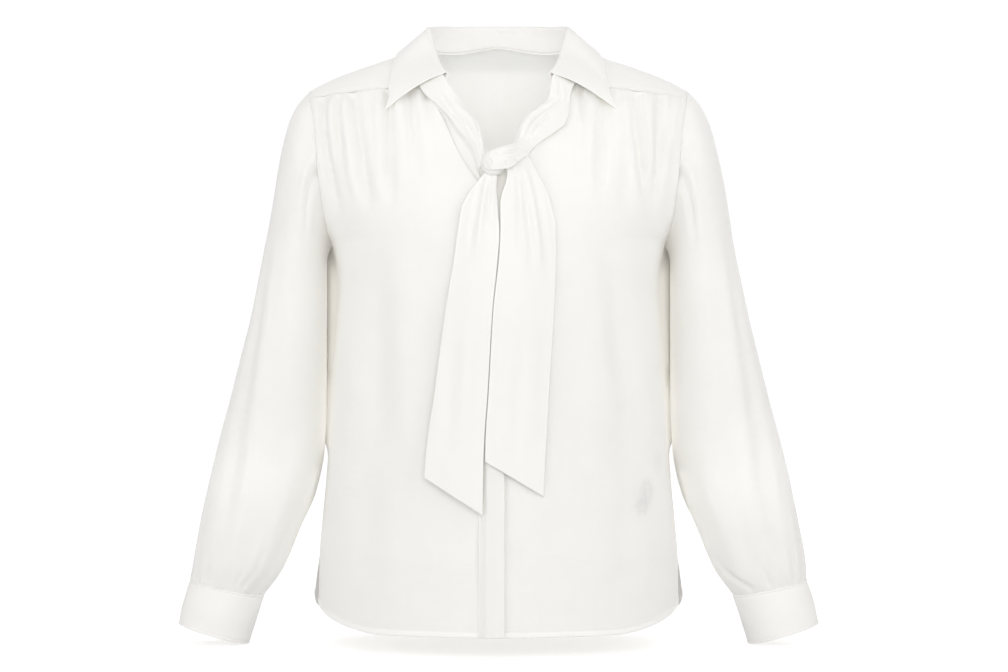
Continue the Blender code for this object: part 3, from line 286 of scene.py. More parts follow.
# ---------------------------------------------------------------- creases
# On the fronts: x and girth where a crease starts, bends and ends, its height (+ ridge, - trough),
# half width, and the share of its run over which it rises (0 where it starts in a seam)
FRONT_CREASES = (
    (-0.1906, 0.027, -0.1915, 0.102, -0.1667, 0.187, -0.0026, 0.0050, 0.00),
    (-0.1715, 0.027, -0.1787, 0.076, -0.1650, 0.107, -0.0014, 0.0035, 0.00),
    (-0.1583, 0.027, -0.1536, 0.086, -0.1340, 0.182, -0.0034, 0.0055, 0.00),
    (-0.1190, 0.027, -0.1191, 0.092, -0.1122, 0.176, -0.0024, 0.0045, 0.00),
    (-0.0968, 0.027, -0.0905, 0.091, -0.0846, 0.143, -0.0020, 0.0050, 0.00),
    (-0.0754, 0.027, -0.0766, 0.063, -0.0714, 0.093, -0.0012, 0.0040, 0.00),
    (-0.1813, 0.038, -0.1844, 0.095, -0.1736, 0.127, 0.0010, 0.0050, 0.15),
    (-0.1658, 0.037, -0.1582, 0.116, -0.1559, 0.159, 0.0009, 0.0060, 0.15),
    (-0.1318, 0.038, -0.1284, 0.112, -0.1230, 0.170, 0.0009, 0.0065, 0.15),
    (-0.1067, 0.040, -0.1037, 0.095, -0.0994, 0.161, 0.0012, 0.0065, 0.15),
    (0.0853, 0.027, 0.0867, 0.055, 0.0900, 0.085, -0.0016, 0.0035, 0.00),
    (0.1123, 0.027, 0.1074, 0.114, 0.1083, 0.165, -0.0018, 0.0045, 0.00),
    (0.1189, 0.027, 0.1173, 0.058, 0.1200, 0.086, -0.0012, 0.0035, 0.00),
    (0.1484, 0.027, 0.1490, 0.110, 0.1620, 0.174, -0.0028, 0.0050, 0.00),
    (0.1749, 0.027, 0.1753, 0.105, 0.1621, 0.181, -0.0024, 0.0050, 0.00),
    (0.1341, 0.085, 0.1352, 0.126, 0.1332, 0.180, -0.0012, 0.0055, 0.30),
    (0.1872, 0.027, 0.1835, 0.069, 0.1808, 0.106, -0.0014, 0.0040, 0.00),
    (0.1626, 0.038, 0.1611, 0.104, 0.1639, 0.138, 0.0009, 0.0055, 0.15),
    (0.1308, 0.038, 0.1302, 0.095, 0.1353, 0.159, 0.0009, 0.0065, 0.15),
    (0.1004, 0.041, 0.1006, 0.083, 0.0967, 0.141, 0.0010, 0.0060, 0.15),
    (-0.1290, 0.190, -0.1270, 0.310, -0.1260, 0.440, -0.0019, 0.0120, 0.45),
    (-0.1570, 0.240, -0.1590, 0.380, -0.1560, 0.560, 0.0014, 0.0140, 0.45),
    (-0.0950, 0.200, -0.0930, 0.320, -0.0960, 0.460, 0.0013, 0.0160, 0.45),
    (-0.1450, 0.420, -0.1380, 0.500, -0.1400, 0.600, -0.0012, 0.0120, 0.45),
    (0.1150, 0.190, 0.1260, 0.300, 0.1440, 0.440, -0.0018, 0.0095, 0.35),
    (0.1560, 0.230, 0.1580, 0.330, 0.1640, 0.480, 0.0013, 0.0120, 0.45),
    (0.0950, 0.220, 0.1010, 0.330, 0.1080, 0.500, 0.0011, 0.0150, 0.45),
    (0.1320, 0.430, 0.1380, 0.510, 0.1360, 0.600, -0.0010, 0.0120, 0.45),
)

# On the back: the same columns, x and girth down the back
BACK_CREASES = (
    (-0.1420, 0.118, -0.1450, 0.180, -0.1380, 0.330, -0.0028, 0.0080, 0.00),
    (-0.0930, 0.118, -0.0980, 0.200, -0.1020, 0.360, -0.0024, 0.0090, 0.00),
    (-0.0420, 0.118, -0.0440, 0.210, -0.0500, 0.420, -0.0030, 0.0110, 0.00),
    (0.0060, 0.118, 0.0040, 0.230, 0.0020, 0.400, -0.0022, 0.0100, 0.00),
    (0.0520, 0.118, 0.0560, 0.200, 0.0620, 0.430, -0.0030, 0.0110, 0.00),
    (0.1000, 0.118, 0.1050, 0.190, 0.1120, 0.340, -0.0024, 0.0090, 0.00),
    (0.1460, 0.118, 0.1480, 0.180, 0.1420, 0.310, -0.0028, 0.0080, 0.00),
    (-0.0700, 0.160, -0.0760, 0.330, -0.0820, 0.560, 0.0030, 0.0150, 0.35),
    (-0.0180, 0.150, -0.0200, 0.340, -0.0240, 0.570, 0.0026, 0.0160, 0.35),
    (0.0300, 0.150, 0.0320, 0.340, 0.0360, 0.560, 0.0026, 0.0150, 0.35),
    (0.0800, 0.160, 0.0860, 0.320, 0.0940, 0.550, 0.0030, 0.0150, 0.35),
    (-0.1180, 0.300, -0.1200, 0.430, -0.1160, 0.590, -0.0028, 0.0140, 0.40),
    (0.1240, 0.280, 0.1260, 0.420, 0.1220, 0.590, -0.0028, 0.0140, 0.40),
)

# On the sleeves: angle round (0 outer, 90 front) and metres down where a crease starts, bends and
# ends, height, half width, rise
SLEEVE_CREASES = {
    -1: (
        (96, 0.000, 100, 0.060, 108, 0.200, -0.0030, 0.0060, 0.00),
        (80, 0.000, 82, 0.040, 88, 0.120, 0.0016, 0.0060, 0.10),
        (40, 0.180, 50, 0.360, 70, 0.545, -0.0024, 0.0070, 0.35),
        (54, 0.180, 62, 0.360, 84, 0.520, 0.0018, 0.0090, 0.35),
        (98, 0.330, 104, 0.440, 100, 0.555, -0.0014, 0.0090, 0.40),
        (122, 0.380, 128, 0.470, 118, 0.560, 0.0014, 0.0100, 0.40),
        (120, 0.490, 118, 0.530, 113, 0.561, -0.0020, 0.0030, 0.30),
        (104, 0.515, 103, 0.540, 101, 0.561, -0.0014, 0.0030, 0.30),
        (150, 0.450, 148, 0.510, 134, 0.562, -0.0012, 0.0070, 0.40),
        (20, 0.440, 24, 0.500, 30, 0.562, -0.0012, 0.0060, 0.40),
        (52, 0.505, 54, 0.535, 56, 0.562, -0.0016, 0.0035, 0.30),
        (-60, 0.060, -70, 0.220, -84, 0.420, -0.0022, 0.0090, 0.30),
        (-100, 0.200, -104, 0.360, -112, 0.540, 0.0024, 0.0120, 0.35),
        (-128, 0.300, -134, 0.430, -128, 0.560, -0.0022, 0.0100, 0.35),
        (-50, 0.360, -54, 0.450, -58, 0.560, -0.0020, 0.0090, 0.35),
        (-80, 0.420, -82, 0.500, -80, 0.562, 0.0018, 0.0080, 0.40),
    ),
    1: (
        (98, 0.000, 101, 0.060, 106, 0.210, -0.0030, 0.0060, 0.00),
        (82, 0.000, 84, 0.040, 90, 0.120, 0.0016, 0.0060, 0.10),
        (42, 0.160, 54, 0.360, 72, 0.550, -0.0024, 0.0070, 0.35),
        (56, 0.200, 66, 0.360, 86, 0.520, 0.0018, 0.0090, 0.35),
        (96, 0.350, 102, 0.450, 104, 0.555, -0.0012, 0.0090, 0.40),
        (120, 0.360, 126, 0.460, 120, 0.560, 0.0014, 0.0100, 0.40),
        (168, 0.490, 136, 0.535, 112, 0.558, -0.0026, 0.0040, 0.25),
        (92, 0.520, 91, 0.540, 89, 0.562, -0.0014, 0.0030, 0.30),
        (156, 0.450, 150, 0.510, 130, 0.562, -0.0010, 0.0070, 0.40),
        (18, 0.440, 22, 0.500, 28, 0.562, -0.0012, 0.0060, 0.40),
        (48, 0.500, 50, 0.535, 52, 0.562, -0.0016, 0.0035, 0.30),
        (-64, 0.060, -72, 0.220, -86, 0.420, -0.0022, 0.0090, 0.30),
        (-98, 0.200, -104, 0.360, -110, 0.540, 0.0024, 0.0120, 0.35),
        (-126, 0.300, -132, 0.430, -126, 0.560, -0.0022, 0.0100, 0.35),
        (-48, 0.360, -52, 0.450, -56, 0.560, -0.0020, 0.0090, 0.35),
        (-78, 0.420, -80, 0.500, -78, 0.562, 0.0018, 0.0080, 0.40),
    ),
}
SLEEVE_RUN = 0.560
FRONT_DEPTH = 2.0
METRES_PER_DEGREE = 0.00088

# Folds of the tie, as the creases of the fronts: across, down, height, half width, rise
BAND_LEFT_CREASES = (
    (0.0100, 0.020, 0.0130, 0.060, 0.0100, 0.120, -0.0022, 0.0022, 0.20),
    (0.0040, 0.055, 0.0060, 0.080, 0.0050, 0.125, 0.0016, 0.0018, 0.20),
    (0.0170, 0.050, 0.0160, 0.075, 0.0090, 0.115, 0.0016, 0.0022, 0.30),
    (0.0215, 0.060, 0.0200, 0.085, 0.0140, 0.118, -0.0016, 0.0018, 0.30),
)
BAND_RIGHT_CREASES = (
    (0.0130, 0.030, 0.0150, 0.070, 0.0070, 0.125, -0.0020, 0.0018, 0.30),
    (0.0050, 0.040, 0.0060, 0.080, 0.0040, 0.120, 0.0014, 0.0018, 0.30),
    (0.0030, 0.085, 0.0050, 0.105, 0.0070, 0.128, -0.0016, 0.0015, 0.30),
)
# On the tails: x and depth below the neck point, from just under the knot
TAIL_RIGHT_FOLDS = (
    (-0.0080, 0.138, -0.0110, 0.160, -0.0160, 0.205, -0.0020, 0.0026, 0.00),
    (-0.0160, 0.141, -0.0240, 0.170, -0.0300, 0.220, -0.0016, 0.0030, 0.00),
    (-0.0120, 0.140, -0.0170, 0.175, -0.0240, 0.240, 0.0014, 0.0040, 0.05),
    (-0.0045, 0.138, -0.0055, 0.160, -0.0065, 0.205, 0.0012, 0.0026, 0.05),
    (-0.0400, 0.260, -0.0460, 0.330, -0.0560, 0.440, -0.0010, 0.0070, 0.40),
    (-0.0300, 0.280, -0.0360, 0.360, -0.0420, 0.460, 0.0010, 0.0080, 0.40),
)
TAIL_LEFT_FOLDS = (
    (0.0170, 0.130, 0.0180, 0.165, 0.0140, 0.220, -0.0018, 0.0030, 0.00),
    (0.0230, 0.125, 0.0330, 0.165, 0.0370, 0.235, -0.0020, 0.0034, 0.00),
    (0.0310, 0.128, 0.0440, 0.165, 0.0500, 0.225, -0.0016, 0.0032, 0.00),
    (0.0190, 0.130, 0.0260, 0.175, 0.0270, 0.250, 0.0014, 0.0045, 0.05),
    (0.0280, 0.128, 0.0400, 0.175, 0.0450, 0.250, 0.0014, 0.0040, 0.05),
    (0.0240, 0.270, 0.0220, 0.360, 0.0160, 0.450, -0.0010, 0.0070, 0.40),
)
# On the knot, from its middle: x and depth below it
KNOT_CREASES = (
    (-0.0118, 0.0005, -0.0112, 0.0030, -0.0100, 0.0058, -0.0013, 0.0012, 0.00),
    (-0.0012, 0.0010, -0.0008, 0.0040, -0.0002, 0.0070, -0.0013, 0.0011, 0.00),
    (0.0088, 0.0010, 0.0092, 0.0040, 0.0086, 0.0066, -0.0012, 0.0011, 0.00),
    (-0.0105, 0.0062, 0.0000, 0.0086, 0.0095, 0.0068, -0.0007, 0.0012, 0.15),
)
# On the wrap: across and along it
WRAP_CREASES = (
    (0.0060, 0.004, 0.0070, 0.020, 0.0050, 0.044, -0.0012, 0.0013, 0.50),
    (0.0115, 0.004, 0.0120, 0.022, 0.0090, 0.046, -0.0013, 0.0014, 0.50),
    (0.0165, 0.006, 0.0165, 0.020, 0.0125, 0.040, -0.0010, 0.0013, 0.50),
    (0.0088, 0.006, 0.0094, 0.022, 0.0070, 0.046, 0.0006, 0.0014, 0.50),
    (0.0240, 0.0214, 0.0200, 0.0212, 0.0160, 0.0210, -0.0016, 0.0012, 0.00),
    (0.0215, 0.0340, 0.0185, 0.0338, 0.0150, 0.0335, -0.0016, 0.0012, 0.00),
    (0.0145, 0.0470, 0.0120, 0.0465, 0.0095, 0.0460, -0.0014, 0.0011, 0.00),
)

# A faint grey mark on the left front: x, z, half width, half height, strength
GREY_PATCHES = (
    (0.1592, -0.4680, 0.0095, 0.0150, 0.42),
    (0.1540, -0.4850, 0.0095, 0.0120, 0.52),
    (0.1530, -0.4800, 0.0170, 0.0240, 0.12),
    (0.1715, -0.4400, 0.0070, 0.0150, 0.20),
)

# ---------------------------------------------------------------- sewing and studio
BUTTON_RADIUS = 0.0045
BUTTON_HEIGHT = 0.0020
BUTTON_LINE = -0.0061
BUTTON_GIRTHS = (0.215, 0.300, 0.385, 0.470, 0.555)
CUFF_BUTTON_RADIUS = 0.0050
CUFF_BUTTON_GAP = 0.0008
CUFF_BUTTON_ANGLE = -17.5
SEWN_ON_GAP = 0.0003
TUCK_REACH = 0.0028
TUCK_DROP = 0.0010
CUFF_TUCK_DROP = 0.0010
HOLE_PLACE = 0.20
HOLE_SIZE = 0.13
# Profile of a button, from the middle of its foot to the middle of its face: radius, height
BUTTON_PROFILE = (
    (0.35, 0.0), (0.80, 0.0), (0.93, 0.06), (0.99, 0.22), (1.0, 0.45), (0.985, 0.72),
    (0.95, 0.90), (0.88, 1.0), (0.80, 0.99), (0.74, 0.92), (0.68, 0.84), (0.62, 0.80),
    *((r, 0.80) for r in np.linspace(0.58, 0.04, 16)),
)
STITCH_LENGTH = 0.0021
STITCH_PITCH = 0.0026
STITCH_RADIUS = 0.00017
THREAD_RADIUS = 0.00022
HEM_STITCH = 0.0060
HEM_STITCH_LIFT = CLOTH / 2 * 1.5
HEM_RAISE = 0.0004
HEM_STEP = 0.0008
VENT_FACING = 0.0075
VENT_STITCH = 0.0068
YOKE_STITCH = 0.0016
CUFF_STITCH = 0.0024
COLLAR_STITCH = 0.0036
PLACKET_STITCH = 0.0022
STAND_SEAM = 0.021
BUTTON_SEAT = 0.0006
CUFF_BUTTON_SEAT = 0.0010
TIE_EDGE = 0.0008

# Depth and half width of the dips along seams and rows of stitches
SEAM_DEPTH = 0.0002
SEAM_HALF = 0.0012
SLEEVE_SEAM_DEPTH = 0.0005
HEM_GROOVE = (0.0003, 0.0009)
CUFF_GROOVE = (0.0004, 0.0007)
PLACKET_GROOVE = (0.0003, 0.0006)
COLLAR_GROOVE = (0.0003, 0.0008)
STAND_GROOVE = (0.0006, 0.0012)

# Distance between the rows of points along each strip of the tie
BAND_STEP = 0.0012
WRAP_STEP = 0.0009
TAIL_STEP = 0.0030

# Fine gathers under the yoke, at the wrists and at the sleeve heads: gap, height, length
FRONT_GATHERS = (0.0075, 0.0024, 0.026)
FRONT_GATHERS_SPAN = (0.062, 0.190)
BACK_GATHERS = (0.0085, 0.0012, 0.045)
BACK_GATHERS_SPAN = (-0.175, 0.175)
WRIST_GATHERS = (0.0095, 0.0022, 0.034)
CAP_GATHERS = (0.012, 0.0007, 0.022)
SLEEVE_GATHERS_SPAN = (0.004, 360 * METRES_PER_DEGREE - 0.004)
VENT_STITCH_FROM = 0.541

# Lights: name, place, what each points at, size, power
LIGHTS = (
    ("key", (0.10, -2.2, 0.25), (0.0, 0.0, -0.34), (1.6, 1.2), 17.5),
    ("fill_left", (-2.0, -1.5, -0.1), (0.0, 0.0, -0.32), (1.4, 2.0), 14.5),
    ("fill_right", (2.0, -1.5, -0.1), (0.0, 0.0, -0.32), (1.4, 2.0), 13.0),
    ("top", (0.0, 0.1, 2.2), (0.0, 0.0, -0.30), (2.4, 1.6), 7.5),
    ("rear", (0.9, 2.3, 0.5), (0.0, 0.0, -0.30), (1.4, 1.4), 11.0),
)
# Narrow lights in the slit between body and sleeve, on each side: place, way they face, depth,
# height, power
SLITS = (
    ((0.1852, 0.0, -0.285), (0.984, -0.175, 0.0), 0.040, 0.110, 0.0015),
    ((0.1852, 0.0, -0.285), (-0.984, 0.175, 0.0), 0.040, 0.110, 0.0015),
    ((0.1880, 0.0, -0.385), (0.984, -0.175, 0.0), 0.040, 0.090, 0.0015),
    ((0.1880, 0.0, -0.385), (-0.984, 0.175, 0.0), 0.040, 0.090, 0.0015),
    ((0.2200, 0.0, -0.535), (0.965, 0.0, 0.260), 0.060, 0.175, 0.0046),
)
# Light that reached the inside through the thin cloth: name, place, radius, power
INNER_LIGHTS = (
    ("inside_neck_right", (-0.045, -0.012, -0.065), 0.03, 0.047),
    ("inside_neck_left", (0.045, -0.012, -0.065), 0.03, 0.047),
    ("inside_nape_right", (-0.028, 0.028, -0.045), 0.02, 0.006),
    ("inside_nape_left", (0.028, 0.028, -0.045), 0.02, 0.006),
    ("inside_chest", (0.0, -0.02, -0.20), 0.05, 0.060),
    ("inside_body", (0.0, 0.0, -0.44), 0.06, 0.015),
    ("inside_sleeve_right", (-0.232, 0.0, -0.26), 0.03, 0.016),
    ("inside_sleeve_left", (0.232, 0.0, -0.26), 0.03, 0.018),
    ("inside_wrist_right", (-0.272, 0.0, -0.46), 0.02, 0.034),
    ("inside_wrist_left", (0.272, 0.0, -0.46), 0.02, 0.036),
)
INNER_COLOUR = (0.88, 0.93, 1.0)
WORLD_STRENGTH = 0.56
FLOOR_GLOW = 0.53
STUDIO_FLAT = 4.6
STUDIO_COVE = 1.2
STUDIO_WALL = 4.5

# Spacing of the grids, as shares of a width, metres or rings: in the middle, and at an edge
FRONT_COLUMNS = (0.0115, 0.004)
BACK_COLUMNS = (0.0125, 0.004)
CUFF_COLUMNS = (0.0062, 0.001)
ARMHOLE_COLUMNS = (0.0045, 0.0012)
SLEEVE_RINGS = (0.078, 0.012)
CUFF_RINGS = (0.055, 0.012)
PLACKET_COLUMNS = (0.0011, 0.0003)
PLACKET_ROWS = (0.0030, 0.0006)
COLLAR_COLUMNS = (0.0022, 0.0004)
FRONT_ROW = 0.0031
BACK_ROW = 0.0034
FRONT_HEM_ROWS = 26
BACK_HEM_ROWS = 28
HEM_FIRST_ROW = 0.006
ROLL_ROWS = 13
KNOT_ROWS = 44
KNOT_COLUMNS = 96
BUTTON_SIDES = 72
HALVINGS = 30

# Rows of the collar's seam allowance inside the neck: below the seam, and inward
COLLAR_TUCK = ((0.0036, 0.0012), (0.0026, 0.0012), (0.0016, 0.0011), (0.0008, 0.0006))

# ---------------------------------------------------------------- curves and sections
def monotone(table):
    """A smooth curve with no overshoot through a table; its first column is the station."""
    rows = np.array(table, float)
    t = rows[:, 0]
    v = rows[:, 1:]
    h = np.diff(t)[:, None]
    d = np.diff(v, axis=0) / h
    m = np.zeros_like(v)
    m[0] = d[0]
    m[-1] = d[-1]
    w1 = 2 * h[1:] + h[:-1]
    w2 = h[1:] + 2 * h[:-1]
    same = d[:-1] * d[1:] > 0
    safe0 = np.where(same, d[:-1], 1.0)
    safe1 = np.where(same, d[1:], 1.0)
    m[1:-1] = np.where(same, (w1 + w2) / (w1 / safe0 + w2 / safe1), 0.0)

    def at(q):
        q = np.clip(np.asarray(q, float), t[0], t[-1])
        i = np.clip(np.searchsorted(t, q, side="right") - 1, 0, len(t) - 2)
        step = (t[i + 1] - t[i])[..., None]
        s = (q - t[i])[..., None] / step
        rest = 1 - s
        ends = v[i] * (1 + 2 * s) * rest**2 + v[i + 1] * s * s * (3 - 2 * s)
        return ends + step * s * rest * (m[i] * rest - m[i + 1] * s)

    return at


body_section = monotone(BODY)
neck_section = monotone(NECKLINE)
collar_section = monotone(COLLAR)


def smooth(t):
    t = np.clip(t, 0.0, 1.0)
    return t * t * (3 - 2 * t)


def unit(a):
    return a / np.maximum(np.linalg.norm(a, axis=-1, keepdims=True), 1e-12)


def torso(v, phi):
    """Middle of the body cloth at a girth and a turn; phi is -1 at one side, 1 at the other."""
    v, phi = np.broadcast_arrays(np.asarray(v, float), np.asarray(phi, float))
    s = body_section(v)
    width, mid_z, side_z, mid_y, side_y = (s[..., k] for k in range(5))
    turn = np.radians(s[..., 5])
    th = phi * turn
    u = np.sin(th) / np.sin(turn)
    swell = np.sin(np.pi * np.clip((np.abs(phi) - SWELL_FROM) / (1 - SWELL_FROM), 0.0, 1.0)) ** 2
    x = width * u + s[..., 6] * np.sign(phi) * swell
    y = side_y + (mid_y - side_y) * (np.cos(th) - np.cos(turn)) / (1 - np.cos(turn))
    bend = np.clip((np.abs(u) - SHOULDER_BEND_FROM) / (1 - SHOULDER_BEND_FROM), 0.0, 1.0)
    slope = SHOULDER_SLOPE + SHOULDER_SLOPE_MORE * bend**1.5
    z = mid_z + (side_z - mid_z) * np.abs(u) ** slope
    return np.stack([x, y, z], axis=-1)


def torso_normal(v, phi):
    """Outward direction of the body cloth."""
    e = 1e-4
    dv = torso(v + e, phi) - torso(v - e, phi)
    dp = torso(v, phi + e) - torso(v, phi - e)
    return unit(np.cross(dv, dp))


def phi_at(v, x):
    """Turn at which the section of girth v has this x, away from the side swell."""
    s = body_section(v)
    turn = np.radians(s[..., 5])
    u = np.clip(np.asarray(x) / s[..., 0], -1.0, 1.0)
    return np.arcsin(u * np.sin(turn)) / turn


def front_girth(x, z):
    """Girth on the front whose section passes through x at height z."""
    x, z = np.broadcast_arrays(np.asarray(x, float), np.asarray(z, float))
    low = np.full(x.shape, 0.0)
    high = np.full(x.shape, LONGEST_GIRTH)
    for _ in range(HALVINGS):
        mid = (low + high) / 2
        below = torso(mid, phi_at(mid, x))[..., 2] > z
        low = np.where(below, mid, low)
        high = np.where(below, high, mid)
    return (low + high) / 2


def on_front(x, z, lift):
    """Points at x and z, at a height above the fronts."""
    v = front_girth(x, z)
    phi = phi_at(v, x)
    return torso(v, phi) + torso_normal(v, phi) * np.asarray(lift)[..., None]


def hem_rise(phi):
    """Share of the hem's rise towards the side vents."""
    s = np.clip((np.abs(phi) - HEM_LEVEL_SHARE) / (1 - HEM_LEVEL_SHARE), 0.0, 1.0)
    return s**HEM_CURVE


def neck_half_width(v, side):
    """Half width of the neck opening; the side is -1 for the right front and 1 for the left."""
    v = np.asarray(v, float)
    ellipse = NECK_WIDTH * np.sqrt(np.clip(1 - (np.minimum(v, 0) / NECK_BACK) ** 2, 0.0, 1.0))
    s = neck_section(np.maximum(v, 0.0))
    return np.where(v < 0, ellipse, s[..., 0] if side < 0 else s[..., 1])


def stations(start, end, step, fine=0.0008):
    """Places from start to end, a step apart and closer together near both ends."""
    length = abs(end - start)
    near = [0.0]
    gap = fine
    while gap < step and near[-1] < length / 2:
        near.append(near[-1] + gap)
        gap *= 1.35
    near = np.array([d for d in near if d < length / 2 - step / 2] or [0.0])
    count = max(2, round((length - 2 * near[-1]) / step) + 1)
    middle = np.linspace(near[-1], length - near[-1], count)
    run = np.concatenate([near[:-1], middle, (length - near[:-1])[::-1]])
    return start + (end - start) * run / length


BAND_SHARES = stations(0.0, 1.0, 0.035, 0.01)


# ---------------------------------------------------------------- relief
def creases(table, a, b):
    """Height of the creases of a table at places a, b."""
    total = np.zeros(a.shape)
    for a0, b0, a1, b1, a2, b2, height, half, rise in table:
        reach = 3.2 * half
        near = (a > min(a0, a1, a2) - reach) & (a < max(a0, a1, a2) + reach)
        near &= (b > min(b0, b2) - reach) & (b < max(b0, b2) + reach)
        if not near.any():
            continue
        pa, pb = a[near], b[near]
        best = np.full(pa.shape, 1e9)
        at = np.zeros(pa.shape)
        for t in np.linspace(0, 1, 41):
            qa = a0 * (1 - t) ** 2 + 2 * a1 * t * (1 - t) + a2 * t * t
            qb = b0 * (1 - t) ** 2 + 2 * b1 * t * (1 - t) + b2 * t * t
            d = (pa - qa) ** 2 + (pb - qb) ** 2
            closer = d < best
            best = np.where(closer, d, best)
            at = np.where(closer, t, at)
        d = np.sqrt(best) / half
        grow = smooth(at / rise) if rise > 0 else 1.0
        fade = smooth((1 - at) / 0.32)
        shape = np.exp(-(d**2)) - 0.32 * np.exp(-(((d - 2.1) / 0.9) ** 2))
        total[near] += height * grow * fade * shape
    return total


def gathers(along, down, seed, first, last, gap, height, length):
    """Fine gathers that start in a seam: uneven ridges across it that fade a short way down."""
    rng = np.random.default_rng(seed)
    total = np.zeros(np.broadcast(along, down).shape)
    at = first
    while at < last:
        size = rng.uniform(0.5, 1.0)
        run = length * rng.uniform(0.35, 1.0) ** 1.5
        lean = rng.uniform(-0.06, 0.06)
        half = gap * rng.uniform(0.22, 0.36)
        d = (along - at - lean * down) / half
        total = total + height * size * np.exp(-(d**2)) * np.exp(-((down / run) ** 1.5))
        at += gap * rng.uniform(0.7, 1.35)
    return total - height * 0.35 * np.exp(-((down / (0.6 * length)) ** 1.5))


def wander(a, b, seed, size, stretch=1.0):
    """Smooth uneven ground between -1 and 1, with bumps of about this size; stretched along b."""
    rng = np.random.default_rng(seed)
    total = np.zeros(np.broadcast(a, b).shape)
    for _ in range(9):
        turn = rng.uniform(0, math.pi)
        wave = rng.uniform(0.7, 1.6) * size
        phase = rng.uniform(0, 2 * math.pi, 3)
        u = (a * math.cos(turn) + b / stretch * math.sin(turn)) * 2 * math.pi / wave
        w = (b / stretch * math.cos(turn) - a * math.sin(turn)) * 2 * math.pi / (1.7 * wave)
        total = total + np.sin(u + phase[0] + 1.3 * np.sin(w + phase[1]))
    return total / 9 * 1.6


# ---------------------------------------------------------------- shells
def grid_normals(p, around=False):
    """Unit normals of a grid of points, by differences."""
    down = np.gradient(p, axis=0)
    if around:
        ring = p[:, :-1]
        across = (np.roll(ring, -1, axis=1) - np.roll(ring, 1, axis=1)) / 2
        across = np.concatenate([across, across[:, :1]], axis=1)
    else:
        across = np.gradient(p, axis=1)
    return unit(np.cross(down, across))


def run_along(points):
    """Distance run along a line of points, from its first."""
    return np.concatenate([[0.0], np.cumsum(np.linalg.norm(np.diff(points, axis=0), axis=1))])


def spacing(p, axis):
    """Distance run along a grid of points, from its first row or column."""
    gaps = np.linalg.norm(np.diff(p, axis=axis), axis=-1)
    start = np.zeros_like(np.take(gaps, [0], axis=axis))
    return np.cumsum(np.concatenate([start, gaps], axis=axis), axis=axis)


def grid(rows, columns):
    """Two grids: the row's value and the column's value at each place."""
    return np.meshgrid(rows, columns, indexing="ij")


class Cloth:
    """A grid of points on the middle of the cloth, with its outward normals and its flat places."""

    def __init__(self, points, outward, around=False):
        self.p = np.array(points, float)
        self.around = around
        self.n = grid_normals(self.p, around)
        if np.sum(self.n * outward(self.p)) < 0:
            self.n = -self.n
        self.u = spacing(self.p, 1)
        self.v = spacing(self.p, 0)
        self.layers = np.zeros(self.p.shape[:2])
        self.mark = np.zeros(self.p.shape[:2])
        self.thick = np.ones(self.p.shape[:2])

    @property
    def from_sides(self):
        """Distance of each place from the nearer side of the grid."""
        return np.minimum(self.u, self.u[:, -1:] - self.u)

    @property
    def from_foot(self):
        """Distance of each place from the foot of the grid."""
        return self.v[-1:] - self.v

    def lift(self, height):
        """Moves the cloth out along its normals by this height, and finds the normals again."""
        self.p = self.p + self.n * height[..., None]
        fresh = grid_normals(self.p, self.around)
        self.n = np.where(np.sum(fresh * self.n, axis=-1, keepdims=True) < 0, -fresh, fresh)


def tuck(cloth, edge, reach, drop, share=1.0):
    """Adds the seam allowance past a sewn edge: it runs on and dips in behind the next piece."""
    sideways = edge in ("first", "last")
    at_end = edge in ("foot", "last")
    fields = [cloth.p, cloth.n, cloth.u, cloth.v, cloth.layers, cloth.mark, cloth.thick]
    if sideways:
        fields = [f.swapaxes(0, 1) for f in fields]
    if at_end:
        fields = [f[::-1] for f in fields]
    p, n = fields[0], fields[1]
    ahead = unit(p[0] - p[1])
    size = np.broadcast_to(np.asarray(share, float), p.shape[1])[:, None]
    rows = []
    for part, dip in ((1.0, 1.0), (0.45, 0.9), (0.15, 0.45)):
        rows.append(p[0] + (ahead * reach * part - n[0] * drop * dip) * size)
    fields = [np.concatenate([np.array(rows), p])] + [
        np.concatenate([np.repeat(f[:1], 3, axis=0), f]) for f in fields[1:]
    ]
    if at_end:
        fields = [f[::-1] for f in fields]
    if sideways:
        fields = [f.swapaxes(0, 1) for f in fields]
    old = fields[1]
    cloth.p, cloth.u, cloth.v, cloth.layers, cloth.mark, cloth.thick = fields[0], *fields[2:]
    fresh = grid_normals(cloth.p, cloth.around)
    cloth.n = np.where(np.sum(fresh * old, axis=-1, keepdims=True) < 0, -fresh, fresh)


def share_normals(cloths):
    """Gives places where pieces meet one normal, so that the light runs over the seam."""
    keys = np.concatenate([np.round(c.p.reshape(-1, 3) * 1e5).astype(np.int64) for c in cloths])
    normals = np.concatenate([c.n.reshape(-1, 3) for c in cloths])
    _, index = np.unique(keys, axis=0, return_inverse=True)
    index = index.reshape(-1)
    total = np.zeros((index.max() + 1, 3))
    np.add.at(total, index, normals)
    mean = unit(total)[index]
    at = 0
    for c in cloths:
        count = c.n.shape[0] * c.n.shape[1]
        c.n = mean[at : at + count].reshape(c.n.shape)
        at += count


